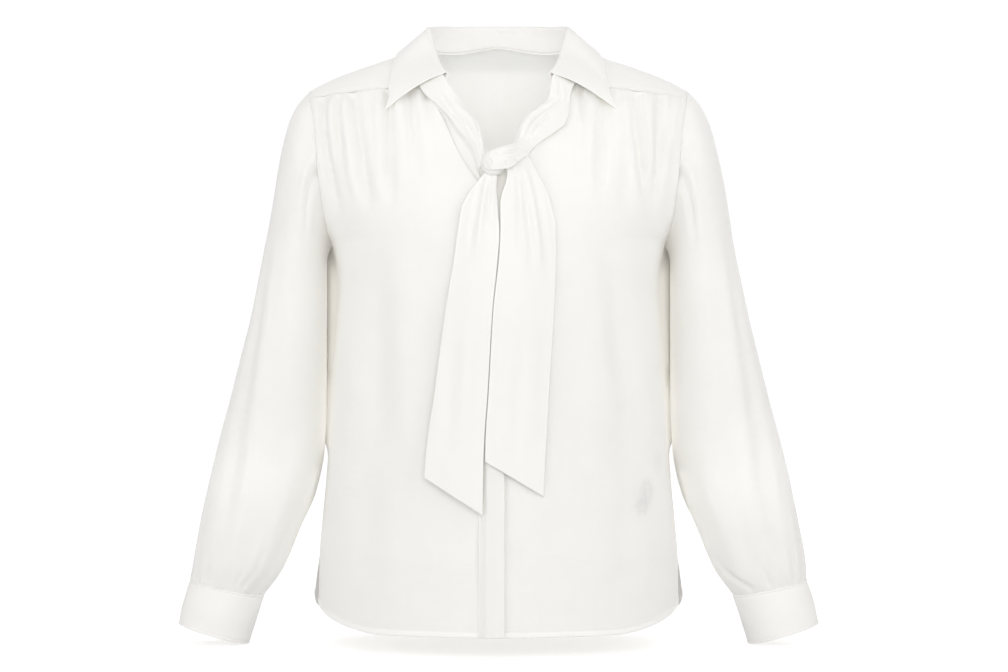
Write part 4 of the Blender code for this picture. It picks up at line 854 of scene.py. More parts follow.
def fill_mesh(name, vertices, quads, uv=None, layers=None, mark=None):
    """A mesh from arrays of vertices and quads; a quad may repeat a corner to be a triangle."""
    mesh = bpy.data.meshes.new(name)
    quads = np.asarray(quads)
    degenerate = (quads == np.roll(quads, -1, axis=1)).any(axis=1)
    triangles = []
    for quad in quads[degenerate]:
        ring = [int(q) for k, q in enumerate(quad) if q != quad[k - 1]]
        if len(ring) == 3:
            triangles.append(ring)
    whole = quads[~degenerate]
    triangles = np.array(triangles, int).reshape(-1, 3)
    loops = np.concatenate([whole.ravel(), triangles.ravel()])
    sizes = np.concatenate([np.full(len(whole), 4), np.full(len(triangles), 3)])
    mesh.vertices.add(len(vertices))
    mesh.vertices.foreach_set("co", np.asarray(vertices, np.float32).ravel())
    mesh.loops.add(len(loops))
    mesh.loops.foreach_set("vertex_index", loops.astype(np.int32))
    mesh.polygons.add(len(sizes))
    starts = np.concatenate([[0], np.cumsum(sizes)[:-1]])
    mesh.polygons.foreach_set("loop_start", starts.astype(np.int32))
    mesh.update(calc_edges=True)
    mesh.validate()
    mesh.shade_smooth()
    if uv is not None:
        layer = mesh.uv_layers.new(name="cut")
        layer.data.foreach_set("uv", np.asarray(uv, np.float32)[loops].ravel())
    for title, values in (("layers", layers), ("mark", mark)):
        if values is not None:
            attribute = mesh.attributes.new(title, "FLOAT", "POINT")
            attribute.data.foreach_set("value", np.asarray(values, np.float32))
    return mesh


def as_piece(name, mesh, material):
    """Puts a mesh into the scene as a piece that rides on the part's one body."""
    mesh.materials.append(material)
    obj = bpy.data.objects.new(name, mesh)
    bpy.context.scene.collection.objects.link(obj)
    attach(obj, "root")
    return obj


def closed_ball(rings, first, last):
    """Quads of a closed lump: rings joined all round, and to one vertex at each end."""
    after = np.roll(rings, -1, axis=1)
    sides = (rings[:-1], after[:-1], after[1:], rings[1:])
    count = rings.shape[1]
    return np.concatenate([
        np.stack([side.ravel() for side in sides], axis=1),
        np.stack([np.full(count, first), after[0], rings[0], rings[0]], axis=1),
        np.stack([np.full(count, last), rings[-1], after[-1], after[-1]], axis=1),
    ])


def shell(name, cloths, thickness, material):
    """One closed thin wall about one or more grids of cloth, joined where their edges meet."""
    keys, middle, normals, uv, layers, mark, thick, quads = [], [], [], [], [], [], [], []
    count = 0
    for c in cloths:
        rows, columns = c.p.shape[:2]
        ids = count + np.arange(rows * columns).reshape(rows, columns)
        count += rows * columns
        keys.append(np.round(c.p.reshape(-1, 3) * 1e5).astype(np.int64))
        middle.append(c.p.reshape(-1, 3))
        normals.append(c.n.reshape(-1, 3))
        uv.append(np.stack([c.u, c.v], axis=-1).reshape(-1, 2))
        layers.append(c.layers.ravel())
        mark.append(c.mark.ravel())
        thick.append(c.thick.ravel())
        a, b, cc, d = ids[:-1, :-1], ids[1:, :-1], ids[1:, 1:], ids[:-1, 1:]
        face_n = np.cross(c.p[1:, :-1] - c.p[:-1, 1:], c.p[1:, 1:] - c.p[:-1, :-1])
        if np.sum(face_n * c.n[:-1, :-1]) < 0:
            b, d = d, b
        quads.append(np.stack([a.ravel(), b.ravel(), cc.ravel(), d.ravel()], axis=1))
    keys, middle, normals = (np.concatenate(k) for k in (keys, middle, normals))
    uv, layers, mark, thick, quads = (np.concatenate(k) for k in (uv, layers, mark, thick, quads))
    _, first, index = np.unique(keys, axis=0, return_index=True, return_inverse=True)
    index = index.reshape(-1)
    normal_sum = np.zeros((len(first), 3))
    np.add.at(normal_sum, index, normals)
    normals = unit(normal_sum)
    middle, uv, layers, mark, thick = (k[first] for k in (middle, uv, layers, mark, thick))
    quads = index[quads]
    half = (thickness * thick / 2)[:, None]
    vertices = np.concatenate([middle + normals * half, middle - normals * half])
    size = len(middle)
    edges = np.concatenate([quads[:, [k, (k + 1) % 4]] for k in range(4)])
    edges = edges[edges[:, 0] != edges[:, 1]]
    _, back, times = np.unique(
        np.sort(edges, axis=1), axis=0, return_inverse=True, return_counts=True
    )
    rim = edges[times[back.reshape(-1)] == 1]
    sides = np.stack([rim[:, 1], rim[:, 0], rim[:, 0] + size, rim[:, 1] + size], axis=1)
    faces = np.concatenate([quads, quads[:, ::-1] + size, sides])
    uv, layers, mark = np.tile(uv, (2, 1)), np.tile(layers, 2), np.tile(mark, 2)
    mesh = fill_mesh(name, vertices, faces, uv, layers, mark)
    return as_piece(name, mesh, material)


# ---------------------------------------------------------------- materials
CLOTH_COLOUR = (0.870, 0.858, 0.832)
CLOTH_SHADE = (0.848, 0.835, 0.804)
DOUBLE_COLOUR = (0.905, 0.893, 0.865)
MARK_COLOUR = (0.50, 0.52, 0.54)
THREAD_COLOUR = (0.93, 0.925, 0.905)
BUTTON_COLOUR = (0.80, 0.79, 0.75)
WEAVE_PITCH = 0.00055
WEAVE_SCALE = 1 / WEAVE_PITCH / (2 * math.pi) * math.pi / 10
SHEEN = 0.25
THROUGH = 0.85
DOUBLE_THROUGH = 0.12
COLLAR_THROUGH = 0.35
THROUGH_DEPTH = 0.0015


def node(tree, kind, **values):
    made = tree.nodes.new(kind)
    for key, value in values.items():
        setattr(made, key, value)
    return made


def fill(made, values):
    """Sets the inputs of a node, by name or number."""
    for key, value in values.items():
        made.inputs[key].default_value = value
    return made


def new_material(name, values):
    """A material with these values on its shader; gives its node tree and shader too."""
    material = bpy.data.materials.new(name)
    material.use_nodes = True
    tree = material.node_tree
    return material, tree, fill(tree.nodes["Principled BSDF"], values)


def add_bump(tree, height, strength, distance, shader):
    bump = fill(node(tree, "ShaderNodeBump"), {"Strength": strength, "Distance": distance})
    tree.links.new(height, bump.inputs["Height"])
    tree.links.new(bump.outputs["Normal"], shader.inputs["Normal"])


def mix_colour(tree, factor, first, second):
    """A colour between two, by the factor; each is a colour or an output socket."""
    mix = node(tree, "ShaderNodeMix", data_type="RGBA")
    tree.links.new(factor, mix.inputs["Factor"])
    for name, value in (("A", first), ("B", second)):
        socket = [s for s in mix.inputs if s.name == name and s.type == "RGBA"][0]
        if isinstance(value, tuple):
            socket.default_value = (*value, 1.0)
        else:
            tree.links.new(value, socket)
    return [s for s in mix.outputs if s.type == "RGBA"][0]


def noise(tree, coordinates, scale, detail=3.0, roughness=0.5):
    made = fill(node(tree, "ShaderNodeTexNoise"),
                {"Scale": scale, "Detail": detail, "Roughness": roughness})
    tree.links.new(coordinates, made.inputs["Vector"])
    return made.outputs["Fac"]


def threads(tree, coordinates, turned):
    """Fine ribs of one set of threads across the cut."""
    direction = "Y" if turned else "X"
    wave = node(tree, "ShaderNodeTexWave", wave_type="BANDS", bands_direction=direction)
    fill(wave, {"Scale": WEAVE_SCALE, "Distortion": 1.4, "Detail": 2.0, "Detail Scale": 0.6})
    tree.links.new(coordinates, wave.inputs["Vector"])
    return wave.outputs["Fac"]


def cloth_material(name, through=THROUGH, marked=False):
    """Off-white crepe: a fine plain weave with a slight pebble, lighter where it is sewn double."""
    material, tree, shader = new_material(name, {
        "Roughness": 0.82,
        "Specular IOR Level": 0.28,
        "Sheen Weight": SHEEN,
        "Sheen Roughness": 0.45,
        "Sheen Tint": (1.0, 0.99, 0.97, 1.0),
        "Subsurface Weight": through,
        "Subsurface Radius": (1.0, 0.97, 0.93),
        "Subsurface Scale": THROUGH_DEPTH,
    })
    place = node(tree, "ShaderNodeTexCoord")
    cut, solid = place.outputs["UV"], place.outputs["Object"]
    pebble = noise(tree, solid, 900.0, 2.0)
    cloud = noise(tree, solid, 26.0, 3.0)
    tone = node(tree, "ShaderNodeMath", operation="MULTIPLY_ADD", use_clamp=True)
    tree.links.new(cloud, fill(tone, {1: 1.6, 2: -0.35}).inputs[0])
    colour = mix_colour(tree, tone.outputs[0], CLOTH_SHADE, CLOTH_COLOUR)
    double = node(tree, "ShaderNodeAttribute", attribute_name="layers")
    colour = mix_colour(tree, double.outputs["Fac"], colour, DOUBLE_COLOUR)
    # With marked, the colour turns towards grey where the mark attribute is set, in blotches: a
    # faint grey patch on the left front.
    if marked:
        spot = node(tree, "ShaderNodeAttribute", attribute_name="mark")
        blotch = noise(tree, solid, 150.0, 3.0, 0.6)
        grey_patch_share = node(tree, "ShaderNodeMath", operation="MULTIPLY", use_clamp=True)
        tree.links.new(spot.outputs["Fac"], grey_patch_share.inputs[0])
        tree.links.new(blotch, grey_patch_share.inputs[1])
        colour = mix_colour(tree, grey_patch_share.outputs[0], colour, MARK_COLOUR)
    tree.links.new(colour, shader.inputs["Base Color"])
    warp, weft = threads(tree, cut, False), threads(tree, cut, True)
    weave = node(tree, "ShaderNodeMath", operation="MAXIMUM")
    tree.links.new(warp, weave.inputs[0])
    tree.links.new(weft, weave.inputs[1])
    height = node(tree, "ShaderNodeMath", operation="MULTIPLY_ADD")
    tree.links.new(weave.outputs[0], height.inputs[0])
    height.inputs[1].default_value = 0.5
    tree.links.new(pebble, height.inputs[2])
    add_bump(tree, height.outputs[0], 0.22, 0.00025, shader)
    return material


def plain_material(name, colour, roughness, variation=0.05, scale=900.0):
    """Thread or button: a colour with a fine uneven tone and a slight grain."""
    material, tree, shader = new_material(name, {"Roughness": roughness})
    place = node(tree, "ShaderNodeTexCoord")
    grain = noise(tree, place.outputs["Object"], scale, 3.0)
    darker = tuple(c * (1 - variation) for c in colour)
    tree.links.new(mix_colour(tree, grain, darker, colour), shader.inputs["Base Color"])
    add_bump(tree, grain, 0.15, 0.0001, shader)
    return material


# ---------------------------------------------------------------- body
def up_and_out(p):
    """Roughly outward on the body: away from a line down its middle."""
    centre = np.zeros_like(p)
    centre[..., 2] = np.minimum(p[..., 2], -0.15)
    return p - centre


def groove(distance, depth=SEAM_DEPTH, half=SEAM_HALF):
    """The dip along a seam or a row of stitches, by distance from it."""
    return -depth * np.exp(-((distance / half) ** 2))


def rounded_edge(distance, thickness):
    """Share of the full thickness near a finished edge, so that the edge is round."""
    share = np.clip(distance / thickness, 0.0, 1.0)
    return 0.25 + 0.75 * np.sqrt(1 - (1 - share) ** 2)


def finish_hem(cloth, hem, below_vent, edge):
    """Marks where the hem and the vent's edge are double, and rounds the hem."""
    band = smooth((HEM_BAND - hem) / HEM_STEP)
    vent = smooth(below_vent / 0.004) * smooth((VENT_FACING - edge) / HEM_STEP)
    cloth.layers = np.maximum(band, vent)
    cloth.thick = rounded_edge(hem, 0.0009) * (1 + 0.6 * band)


def body_grid(side, columns, rows, hem_rows):
    """Points of a front panel, side seam first, with girth, turn and x at each."""
    girths = stations(YOKE_FRONT, VENT_TOP, rows)
    inner = phi_at(girths, side * neck_half_width(girths, side))
    turns = side + (inner[:, None] - side) * columns[None, :]
    v = np.repeat(girths[:, None], len(columns), axis=1)
    last = turns[-1]
    hem = HEM_FRONT - HEM_FRONT_RISE * hem_rise(last)
    steps = stations(0.0, 1.0, 1.0 / hem_rows, HEM_FIRST_ROW)[1:]
    v = np.vstack([v, VENT_TOP + (hem - VENT_TOP)[None, :] * steps[:, None]])
    turns = np.vstack([turns, np.repeat(last[None, :], len(steps), axis=0)])
    return v, turns


def meet_at_side(v, turns, p, phi_side):
    """Draws the panel's side to the seam that front and back share, over a short way."""
    span = (np.abs(v) >= UNDERARM - 1e-6) & (np.abs(v) <= VENT_TOP + 0.12)
    g = np.clip(np.abs(v), UNDERARM, 0.62)
    own = torso(v, phi_side)
    other = torso(np.where(v > 0, -g, g), phi_side)
    mean = (own + other) / 2
    share = 1 - smooth((1 - np.abs(turns)) / 0.09)
    fade = smooth((VENT_TOP + 0.02 - np.abs(v)) / 0.03)
    return p + (mean - own) * (share * span * fade)[..., None]


def front_cloth(side):
    """A front: -1 is the wearer's right, 1 the left."""
    v, turns = body_grid(side, stations(0.0, 1.0, *FRONT_COLUMNS), FRONT_ROW, FRONT_HEM_ROWS)
    p = meet_at_side(v, turns, torso(v, turns), side)
    cloth = Cloth(p, up_and_out)
    x = p[..., 0]
    down = cloth.v
    across = cloth.u
    height = FRONT_DEPTH * creases(FRONT_CREASES, x, v)
    ease = smooth(across / 0.012)
    height = height * ease * smooth((0.61 - v) / 0.05)
    seed = 11 if side < 0 else 12
    fine = gathers(np.abs(x), down, seed, *FRONT_GATHERS_SPAN, *FRONT_GATHERS)
    height = height + fine * smooth(across / 0.010)
    height = height + 0.0005 * wander(x, v, 21 + side, 0.055, 2.2) * ease
    low_ground = wander(x, v, 31 + side, 0.018, 1.6) * smooth((v - 0.36) / 0.2)
    height = height + 0.00022 * low_ground * ease
    height = height * (0.20 + 0.80 * smooth(down / 0.010))
    hem = (HEM_FRONT - HEM_FRONT_RISE * hem_rise(turns[-1]))[None, :] - v
    height = height + HEM_RAISE * smooth((HEM_BAND - hem) / HEM_STEP)
    height = height + groove(hem - HEM_BAND, *HEM_GROOVE)
    height = height + groove(down) + groove(across) * (v < VENT_TOP)
    cloth.lift(height)
    finish_hem(cloth, hem, v - VENT_TOP, across)
    return cloth


def back_cloth():
    share = stations(0.0, 1.0, *BACK_COLUMNS)
    line = np.concatenate([-1 + share, share[1:]])
    girths = -stations(YOKE_BACK, VENT_TOP, BACK_ROW)
    v, turns = grid(girths, line)
    hem = HEM_BACK_RISE * hem_rise(line) - HEM_BACK
    steps = stations(0.0, 1.0, 1.0 / BACK_HEM_ROWS, HEM_FIRST_ROW)[1:]
    v = np.vstack([v, -VENT_TOP + (hem + VENT_TOP)[None, :] * steps[:, None]])
    turns = np.vstack([turns, np.repeat(line[None, :], len(steps), axis=0)])
    p = meet_at_side(v, turns, torso(v, turns), np.sign(turns) + (turns == 0))
    cloth = Cloth(p, up_and_out)
    x = p[..., 0]
    g = -v
    edge = cloth.from_sides
    ease = smooth(edge / 0.045)
    height = creases(BACK_CREASES, x, g) * ease * smooth((0.625 - g) / 0.05)
    fine = gathers(x, cloth.v, 41, *BACK_GATHERS_SPAN, *BACK_GATHERS)
    height = height + fine * smooth(edge / 0.02)
    height = height + 0.0006 * wander(x, g, 42, 0.060, 2.2) * ease
    height = height * (0.12 + 0.88 * smooth(cloth.v / 0.014))
    hem_away = v - hem[None, :]
    height = height + HEM_RAISE * smooth((HEM_BAND - hem_away) / HEM_STEP)
    height = height + groove(hem_away - HEM_BAND, *HEM_GROOVE)
    height = height + groove(cloth.v) + groove(edge) * (g < VENT_TOP)
    cloth.lift(height)
    finish_hem(cloth, hem_away, g - VENT_TOP, edge)
    return cloth


def back_side_run(cloth):
    """How far down the side seam each row of the back is, from the underarm."""
    z = cloth.p[:, 0, 2]
    return -z - UNDERARM


def yoke_cloths():
    share = stations(0.0, 1.0, 0.017, 0.006)
    cloths = []
    down = stations(0.0, 1.0, 0.035, 0.010)
    near_end = NECK_BACK
    for side in (-1, 1):
        near = YOKE_FRONT + (near_end - YOKE_FRONT) * down[:, None]
        far = YOKE_FRONT + (YOKE_ARM_END - YOKE_FRONT) * down[:, None]
        v = far + (near - far) * share
        inner = phi_at(near[:, 0], side * neck_half_width(near[:, 0], side))
        turns = side + (inner[:, None] - side) * share
        cloths.append(Cloth(torso(v, turns), up_and_out))
    turns = np.concatenate([-1 + share, share[1:]])[None, :]
    reach = np.abs(turns)
    low = stations(0.0, 1.0, 0.030, 0.010)[:, None]
    near = near_end + (-YOKE_BACK - near_end) * low
    far = YOKE_ARM_END + (-YOKE_BACK - YOKE_ARM_END) * low
    cloths.append(Cloth(torso(near + (far - near) * reach, turns), up_and_out))
    for k, c in enumerate(cloths):
        front = k < 2
        seam = c.v if front else c.from_foot
        arm = c.u if front else c.from_sides
        height = groove(seam) + groove(arm) + 0.0003 * smooth((0.0075 - seam) / 0.001)
        ground = wander(c.p[..., 0], c.p[..., 1], 51, 0.07, 1.0)
        height = height + 0.0004 * ground * smooth(arm / 0.02)
        c.layers = 0.35 * smooth((0.0085 - seam) / 0.0015)
        c.height = height
    share_normals(cloths)
    for c in cloths:
        c.p = c.p + c.n * c.height[..., None]
    return cloths


# ---------------------------------------------------------------- sleeves and cuffs
sleeve_rings = monotone([(k, *row) for k, row in enumerate(SLEEVE)])
cuff_rings = monotone([(k, *row) for k, row in enumerate(CUFF)])


def ring_points(row, angle):
    """Points of sleeve or cuff rings: 0 outer, 90 front, 180 inner, 270 back; and their normals."""
    outer_x, outer_z, inner_x, inner_z, front_y, back_y = (row[..., k] / 1000 for k in range(6))
    centre = ((outer_x + inner_x) / 2, (front_y + back_y) / 2, (outer_z + inner_z) / 2)
    centre = np.stack(centre, axis=-1)
    half = np.stack([(outer_x - inner_x) / 2, 0 * outer_x, (outer_z - inner_z) / 2], axis=-1)
    depth = ((back_y - front_y) / 2)[..., None]
    c = np.cos(np.radians(angle))[..., None]
    s = np.sin(np.radians(angle))[..., None]
    size = np.linalg.norm(half, axis=-1, keepdims=True)
    forward = np.array([0.0, -1.0, 0.0])
    p = centre + half * c + forward * depth * s
    n = unit(half / size * c / size + forward * s / depth)
    return p, n


def armhole_line(side):
    """Points of an armhole, up the front and down the back, and the angle of the sleeve there."""
    front = stations(UNDERARM, 0.0, *ARMHOLE_COLUMNS)
    back = stations(0.0, -UNDERARM, *ARMHOLE_COLUMNS)[1:]
    line = torso(np.concatenate([front, back]), float(side))
    run = run_along(line)
    top = len(front) - 1
    ahead = 180.0 * (1 - run[: top + 1] / run[top])
    behind = -180.0 * (run[top + 1 :] - run[top]) / (run[-1] - run[top])
    return line, np.concatenate([ahead, behind])


def sleeve_cloth(side):
    mirror = np.array([side, 1.0, 1.0])
    loop, angles = armhole_line(side)
    count = len(SLEEVE) - 1
    rings = stations(0.0, count, *SLEEVE_RINGS)
    k, angle = grid(rings, angles)
    p, _ = ring_points(sleeve_rings(k), angle)
    first, _ = ring_points(sleeve_rings(k[:1]), angle[:1])
    offset = loop * mirror - first[0]
    share = k / count
    if side > 0:
        start, end = LEFT_SLEEVE_EASE
        outer = smooth((1 + np.cos(np.radians(angle))) / 2)
        p = p + np.array([LEFT_SLEEVE_OUT, 0, 0]) * (
            outer * smooth(share / start) * smooth((1 - share) / end)
        )[..., None]
    p = (p + offset[None] * smooth(1 - k / HEAD_RINGS)[..., None]) * mirror
    axis = np.mean(p, axis=1, keepdims=True)
    cloth = Cloth(p, lambda q: q - axis, around=True)
    a = np.where(angle > 180, angle - 360, angle) * METRES_PER_DEGREE
    down = share * SLEEVE_RUN
    table = [(r[0] * METRES_PER_DEGREE, r[1], r[2] * METRES_PER_DEGREE, r[3],
              r[4] * METRES_PER_DEGREE, r[5], *r[6:]) for r in SLEEVE_CREASES[side]]
    height = creases(table, a, down)
    left = SLEEVE_RUN - down
    ease = smooth(down / 0.03) * smooth(left / 0.02)
    seed = 60 + side
    ring = (a + 180 * METRES_PER_DEGREE)
    fine = gathers(ring, left, seed, *SLEEVE_GATHERS_SPAN, *WRIST_GATHERS)
    height = height + fine * smooth((180 * METRES_PER_DEGREE - np.abs(a)) / 0.006)
    cap = gathers(ring, down, seed + 5, *SLEEVE_GATHERS_SPAN, *CAP_GATHERS)
    height = height + cap * smooth((125 - np.abs(angle)) / 20)
    height = height + 0.0007 * wander(a, down, seed + 9, 0.050, 2.4) * ease
    inner_side = 0.25 + 0.75 * smooth((165 - np.abs(angle)) / 25)
    height = height * smooth((180 - np.abs(angle)) / 6) * inner_side
    height = height + groove(down) + groove(left)
    under_seam = (180 - np.abs(angle)) * METRES_PER_DEGREE
    height = height + groove(under_seam, SLEEVE_SEAM_DEPTH)
    cloth.lift(height)
    return cloth


def cuff_cloth(side):
    mirror = np.array([side, 1.0, 1.0])
    share = stations(0.0, 1.0, *CUFF_COLUMNS)
    angles = CUFF_UNDER_END + (CUFF_OVER_END - CUFF_UNDER_END) * share
    count = len(CUFF) - 1
    rings = stations(0.0, count, *CUFF_RINGS)
    k, angle = grid(rings, angles)
    p, n = ring_points(cuff_rings(k), angle)
    lift = CUFF_LIFT * smooth((angle - CUFF_LIFT_FROM) / CUFF_LIFT_TURN)
    p = (p + n * lift[..., None]) * mirror
    axis = np.mean(p, axis=1, keepdims=True)
    cloth = Cloth(p, lambda q: q - axis)
    edge = np.minimum(np.minimum(cloth.v, cloth.from_foot), cloth.from_sides)
    height = 0.0005 * wander(cloth.u, cloth.v, 70 + side, 0.030, 1.0) * smooth(edge / 0.006)
    height = height + groove(edge - CUFF_STITCH, *CUFF_GROOVE)
    height = height + 0.0003 * smooth((0.0022 - edge) / 0.0006)
    cloth.lift(height)
    cloth.layers = np.full(edge.shape, 0.85) + 0.25 * smooth((0.0030 - edge) / 0.0008)
    cloth.thick = rounded_edge(edge, 0.0014)
    return cloth


# ---------------------------------------------------------------- placket and collar
def placket_cloth():
    across = monotone(PLACKET)
    x = stations(PLACKET[0][0], PLACKET[-1][0], *PLACKET_COLUMNS)
    z = stations(PLACKET_TOP, -HEM_FRONT, *PLACKET_ROWS)
    lift = across(x)[:, 0]
    zz, xx = grid(z, x)
    points = on_front(xx, zz, grid(z, lift)[1])
    cloth = Cloth(points, up_and_out)
    left = cloth.u
    right = cloth.u[:, -1:] - cloth.u
    foot = cloth.from_foot
    height = 0.00025 * wander(xx, zz, 81, 0.035, 1.4) * smooth(foot / 0.01)
    height = height + groove(left - PLACKET_STITCH, *PLACKET_GROOVE)
    height = height + 0.0003 * smooth((HEM_BAND - foot) / HEM_STEP)
    cloth.lift(height)
    cloth.layers = np.full(left.shape, 0.10)
    edge = np.minimum(np.minimum(left, right), foot)
    cloth.thick = rounded_edge(edge, 0.0010)
    return cloth


def collar_half(side, runs):
    """Points of half of the collar in one wall: stand, roll and leaf, on one side."""
    s = collar_section(runs)
    seam_x, seam_v, edge_x, edge_v, edge_lift, radius = (s[:, k] for k in (0, 1, 5, 6, 7, 8))
    fold = s[:, 2:5].copy()
    if side < 0:
        tip = smooth((runs - RIGHT_POINT_FROM) / RIGHT_POINT_RUN)
        edge_x = edge_x - RIGHT_POINT_SHIFT[0] * tip
        edge_v = edge_v + RIGHT_POINT_SHIFT[1] * tip
    mirror = np.array([side, 1.0, 1.0])
    seam_phi = phi_at(seam_v, seam_x)
    seam = torso(seam_v, seam_phi) + torso_normal(seam_v, seam_phi) * COLLAR_SEAM_LIFT
    edge_phi = phi_at(edge_v, edge_x)
    edge = torso(edge_v, edge_phi) + torso_normal(edge_v, edge_phi) * edge_lift[:, None]
    rise = unit(fold - seam)
    out = edge - seam
    out = unit(out - rise * np.sum(out * rise, axis=1, keepdims=True))
    r = radius[:, None]
    centre = fold - rise * r
    rows = []
    start = centre - out * r
    neck_normal = torso_normal(seam_v, seam_phi)
    inward = unit(np.cross(np.gradient(seam, axis=0), neck_normal))
    inward = inward * np.sign(np.sum(inward * -out, axis=1, keepdims=True))
    for down, over in COLLAR_TUCK:
        rows.append(seam - neck_normal * down + inward * over)
    for t in stations(0.0, 0.96, 0.085, 0.02):
        rows.append(seam + (start - seam) * t)
    for angle in np.linspace(180, 0, ROLL_ROWS):
        a = math.radians(angle)
        rows.append(centre + out * r * math.cos(a) + rise * r * math.sin(a))
    leaf_start = centre + out * r
    for t in stations(0.0, 1.0, 0.033, 0.006)[1:]:
        bow = COLLAR_BOW * 4 * t * (1 - t) * (1 - 0.4 * t)
        bow = bow * smooth((runs - COLLAR_BOW_FROM) / COLLAR_BOW_RUN)
        rows.append(leaf_start + (edge - leaf_start) * t + (out + rise) * bow[:, None])
    return np.array(rows) * mirror


def collar_cloth():
    runs = stations(0.0, COLLAR[-1][0], *COLLAR_COLUMNS)
    points = np.concatenate([collar_half(-1, runs)[:, ::-1], collar_half(1, runs)[:, 1:]], axis=1)
    cloth = Cloth(points, lambda p: points - points[:1])
    ends = cloth.from_sides
    foot = cloth.from_foot
    edge = np.minimum(ends, foot)
    leaf = smooth((cloth.v - 0.030) / 0.01)
    height = 0.00035 * wander(cloth.u, cloth.v, 91, 0.045, 1.0) * smooth(edge / 0.012)
    height = height + groove(edge - COLLAR_STITCH, *COLLAR_GROOVE) * leaf
    stand = groove(cloth.v - STAND_SEAM, *STAND_GROOVE)
    height = height + stand * smooth((0.05 - cloth.v) / 0.01)
    cloth.lift(height)
    cloth.layers = leaf * (0.85 + 0.35 * smooth((0.0034 - edge) / 0.0006))
    cloth.thick = rounded_edge(np.minimum(edge, cloth.v + 0.0004), 0.0011)
    return cloth


# ---------------------------------------------------------------- neck tie
def forwards(p):
    out = np.zeros_like(p)
    out[..., 1] = -1.0
    return out


def rows_of(table, step):
    """The rows of a table made dense along the line of its first three columns."""
    rows = np.array(table, float)
    run = run_along(rows[:, :3])
    return monotone(np.column_stack([run, rows]))(stations(0.0, run[-1], step))


def strip(first, last, heights, share):
    """Rows of points between two edges with a rounded rise between them."""
    s = share[None, :, None]
    p = first[:, None] + (last - first)[:, None] * s
    n = grid_normals(p)
    if np.sum(n[..., 1]) > 0:
        n = -n
    rise = np.sin(np.pi * share[None, :] ** (math.log(0.5) / math.log(BAND_CROWN)))
    return p + n * (heights[:, None] * rise)[..., None]


def band_finish(cloth, folds):
    """Folds and rounded edges of a strip of the tie."""
    height = creases(folds, cloth.u, cloth.v)
    height = height + 0.0003 * wander(cloth.u, cloth.v, 101, 0.02, 2.0)
    cloth.lift(height)
    edge = np.minimum(cloth.from_sides, cloth.from_foot)
    cloth.layers = 0.25 + 0.4 * smooth((0.0016 - edge) / 0.0006)
    cloth.thick = rounded_edge(cloth.from_sides, TIE_EDGE)
    return cloth


def rolled_strip(table, step):
    """Points of a strip, from a table of its two edges and the height of the roll between."""
    s = rows_of(table, step)
    return strip(s[:, 0:3], s[:, 3:6], s[:, 6], BAND_SHARES)


def band_cloth(table, step, folds):
    """The left band, or its end that goes over the knot and tucks in behind it."""
    return band_finish(Cloth(rolled_strip(table, step), forwards), folds)


def band_right_cloth():
    """The right band, and its flange that goes in behind the front neck edge."""
    edge_at = monotone(np.column_stack([np.arange(len(FLANGE_RIGHT)), FLANGE_RIGHT]))
    run = run_along(np.array(BAND_RIGHT)[:, :3])
    index_at = monotone(np.column_stack([run, np.arange(len(run))]))
    edge = edge_at(index_at(stations(0.0, run[-1], BAND_STEP))[..., 0])
    top = rolled_strip(BAND_RIGHT, BAND_STEP)
    width = np.linalg.norm(edge - top[:, -1], axis=1, keepdims=True)
    turn = top[:, -1] + (edge - top[:, -1]) * FLANGE_TURN
    turn = turn + np.array([0.0, 1.0, 0.0]) * np.minimum(FLANGE_DROP * width, FLANGE_DROP_MOST)
    first = [top[:, -1] + (turn - top[:, -1]) * t for t in np.linspace(0, 1, 5)[1:]]
    last = [turn + (edge - turn) * t for t in np.linspace(0, 1, 9)[1:]]
    points = np.concatenate([top, np.stack(first + last, axis=1)], axis=1)
    cloth = Cloth(points, forwards)
    cloth = band_finish(cloth, BAND_RIGHT_CREASES)
    # The flange gets the plain cloth colour, darker than the band's double cloth: painted shade
    # where it goes in under the band.
    cloth.layers[:, len(BAND_SHARES):] = 0.0
    return cloth


def tail_cloth(table, folds, seed):
    s = rows_of([(r[0], 0.0, r[1], *r) for r in table], TAIL_STEP)[:, 3:]
    share = stations(0.0, 1.0, 0.022, 0.008)[None, :]
    x = s[:, 0:1] + (s[:, 2:3] - s[:, 0:1]) * share
    z = s[:, 1:2] + (s[:, 3:4] - s[:, 1:2]) * share
    lift = s[:, 4:5] + (s[:, 5:6] - s[:, 4:5]) * share
    lift = lift + s[:, 6:7] * np.sin(np.pi * share) ** 2
    cloth = Cloth(on_front(x, z, lift), forwards)
    height = creases(folds, cloth.p[..., 0], -cloth.p[..., 2])
    height = height + 0.0004 * wander(cloth.p[..., 0], cloth.p[..., 2], seed, 0.030, 3.0)
    edge = cloth.from_sides
    foot = cloth.from_foot
    height = height * smooth(edge / 0.003)
    cloth.lift(height)
    rim = np.minimum(edge, foot)
    cloth.layers = np.full(edge.shape, 0.35) + 0.4 * smooth((0.0022 - rim) / 0.0006)
    cloth.thick = rounded_edge(rim, TIE_EDGE)
    return cloth


def knot_point(a, b):
    """Point on the knot: a turns across the front, b up; the knot is tilted."""
    half = KNOT_HALF
    x = half[0] * np.sin(a) * np.cos(b)
    y = -half[1] * np.cos(a) * np.cos(b)
    z = half[2] * np.sin(b)
    t = math.radians(KNOT_TILT)
    p = np.stack([x * math.cos(t) - z * math.sin(t), y, x * math.sin(t) + z * math.cos(t)], axis=-1)
    return p + KNOT_CENTRE


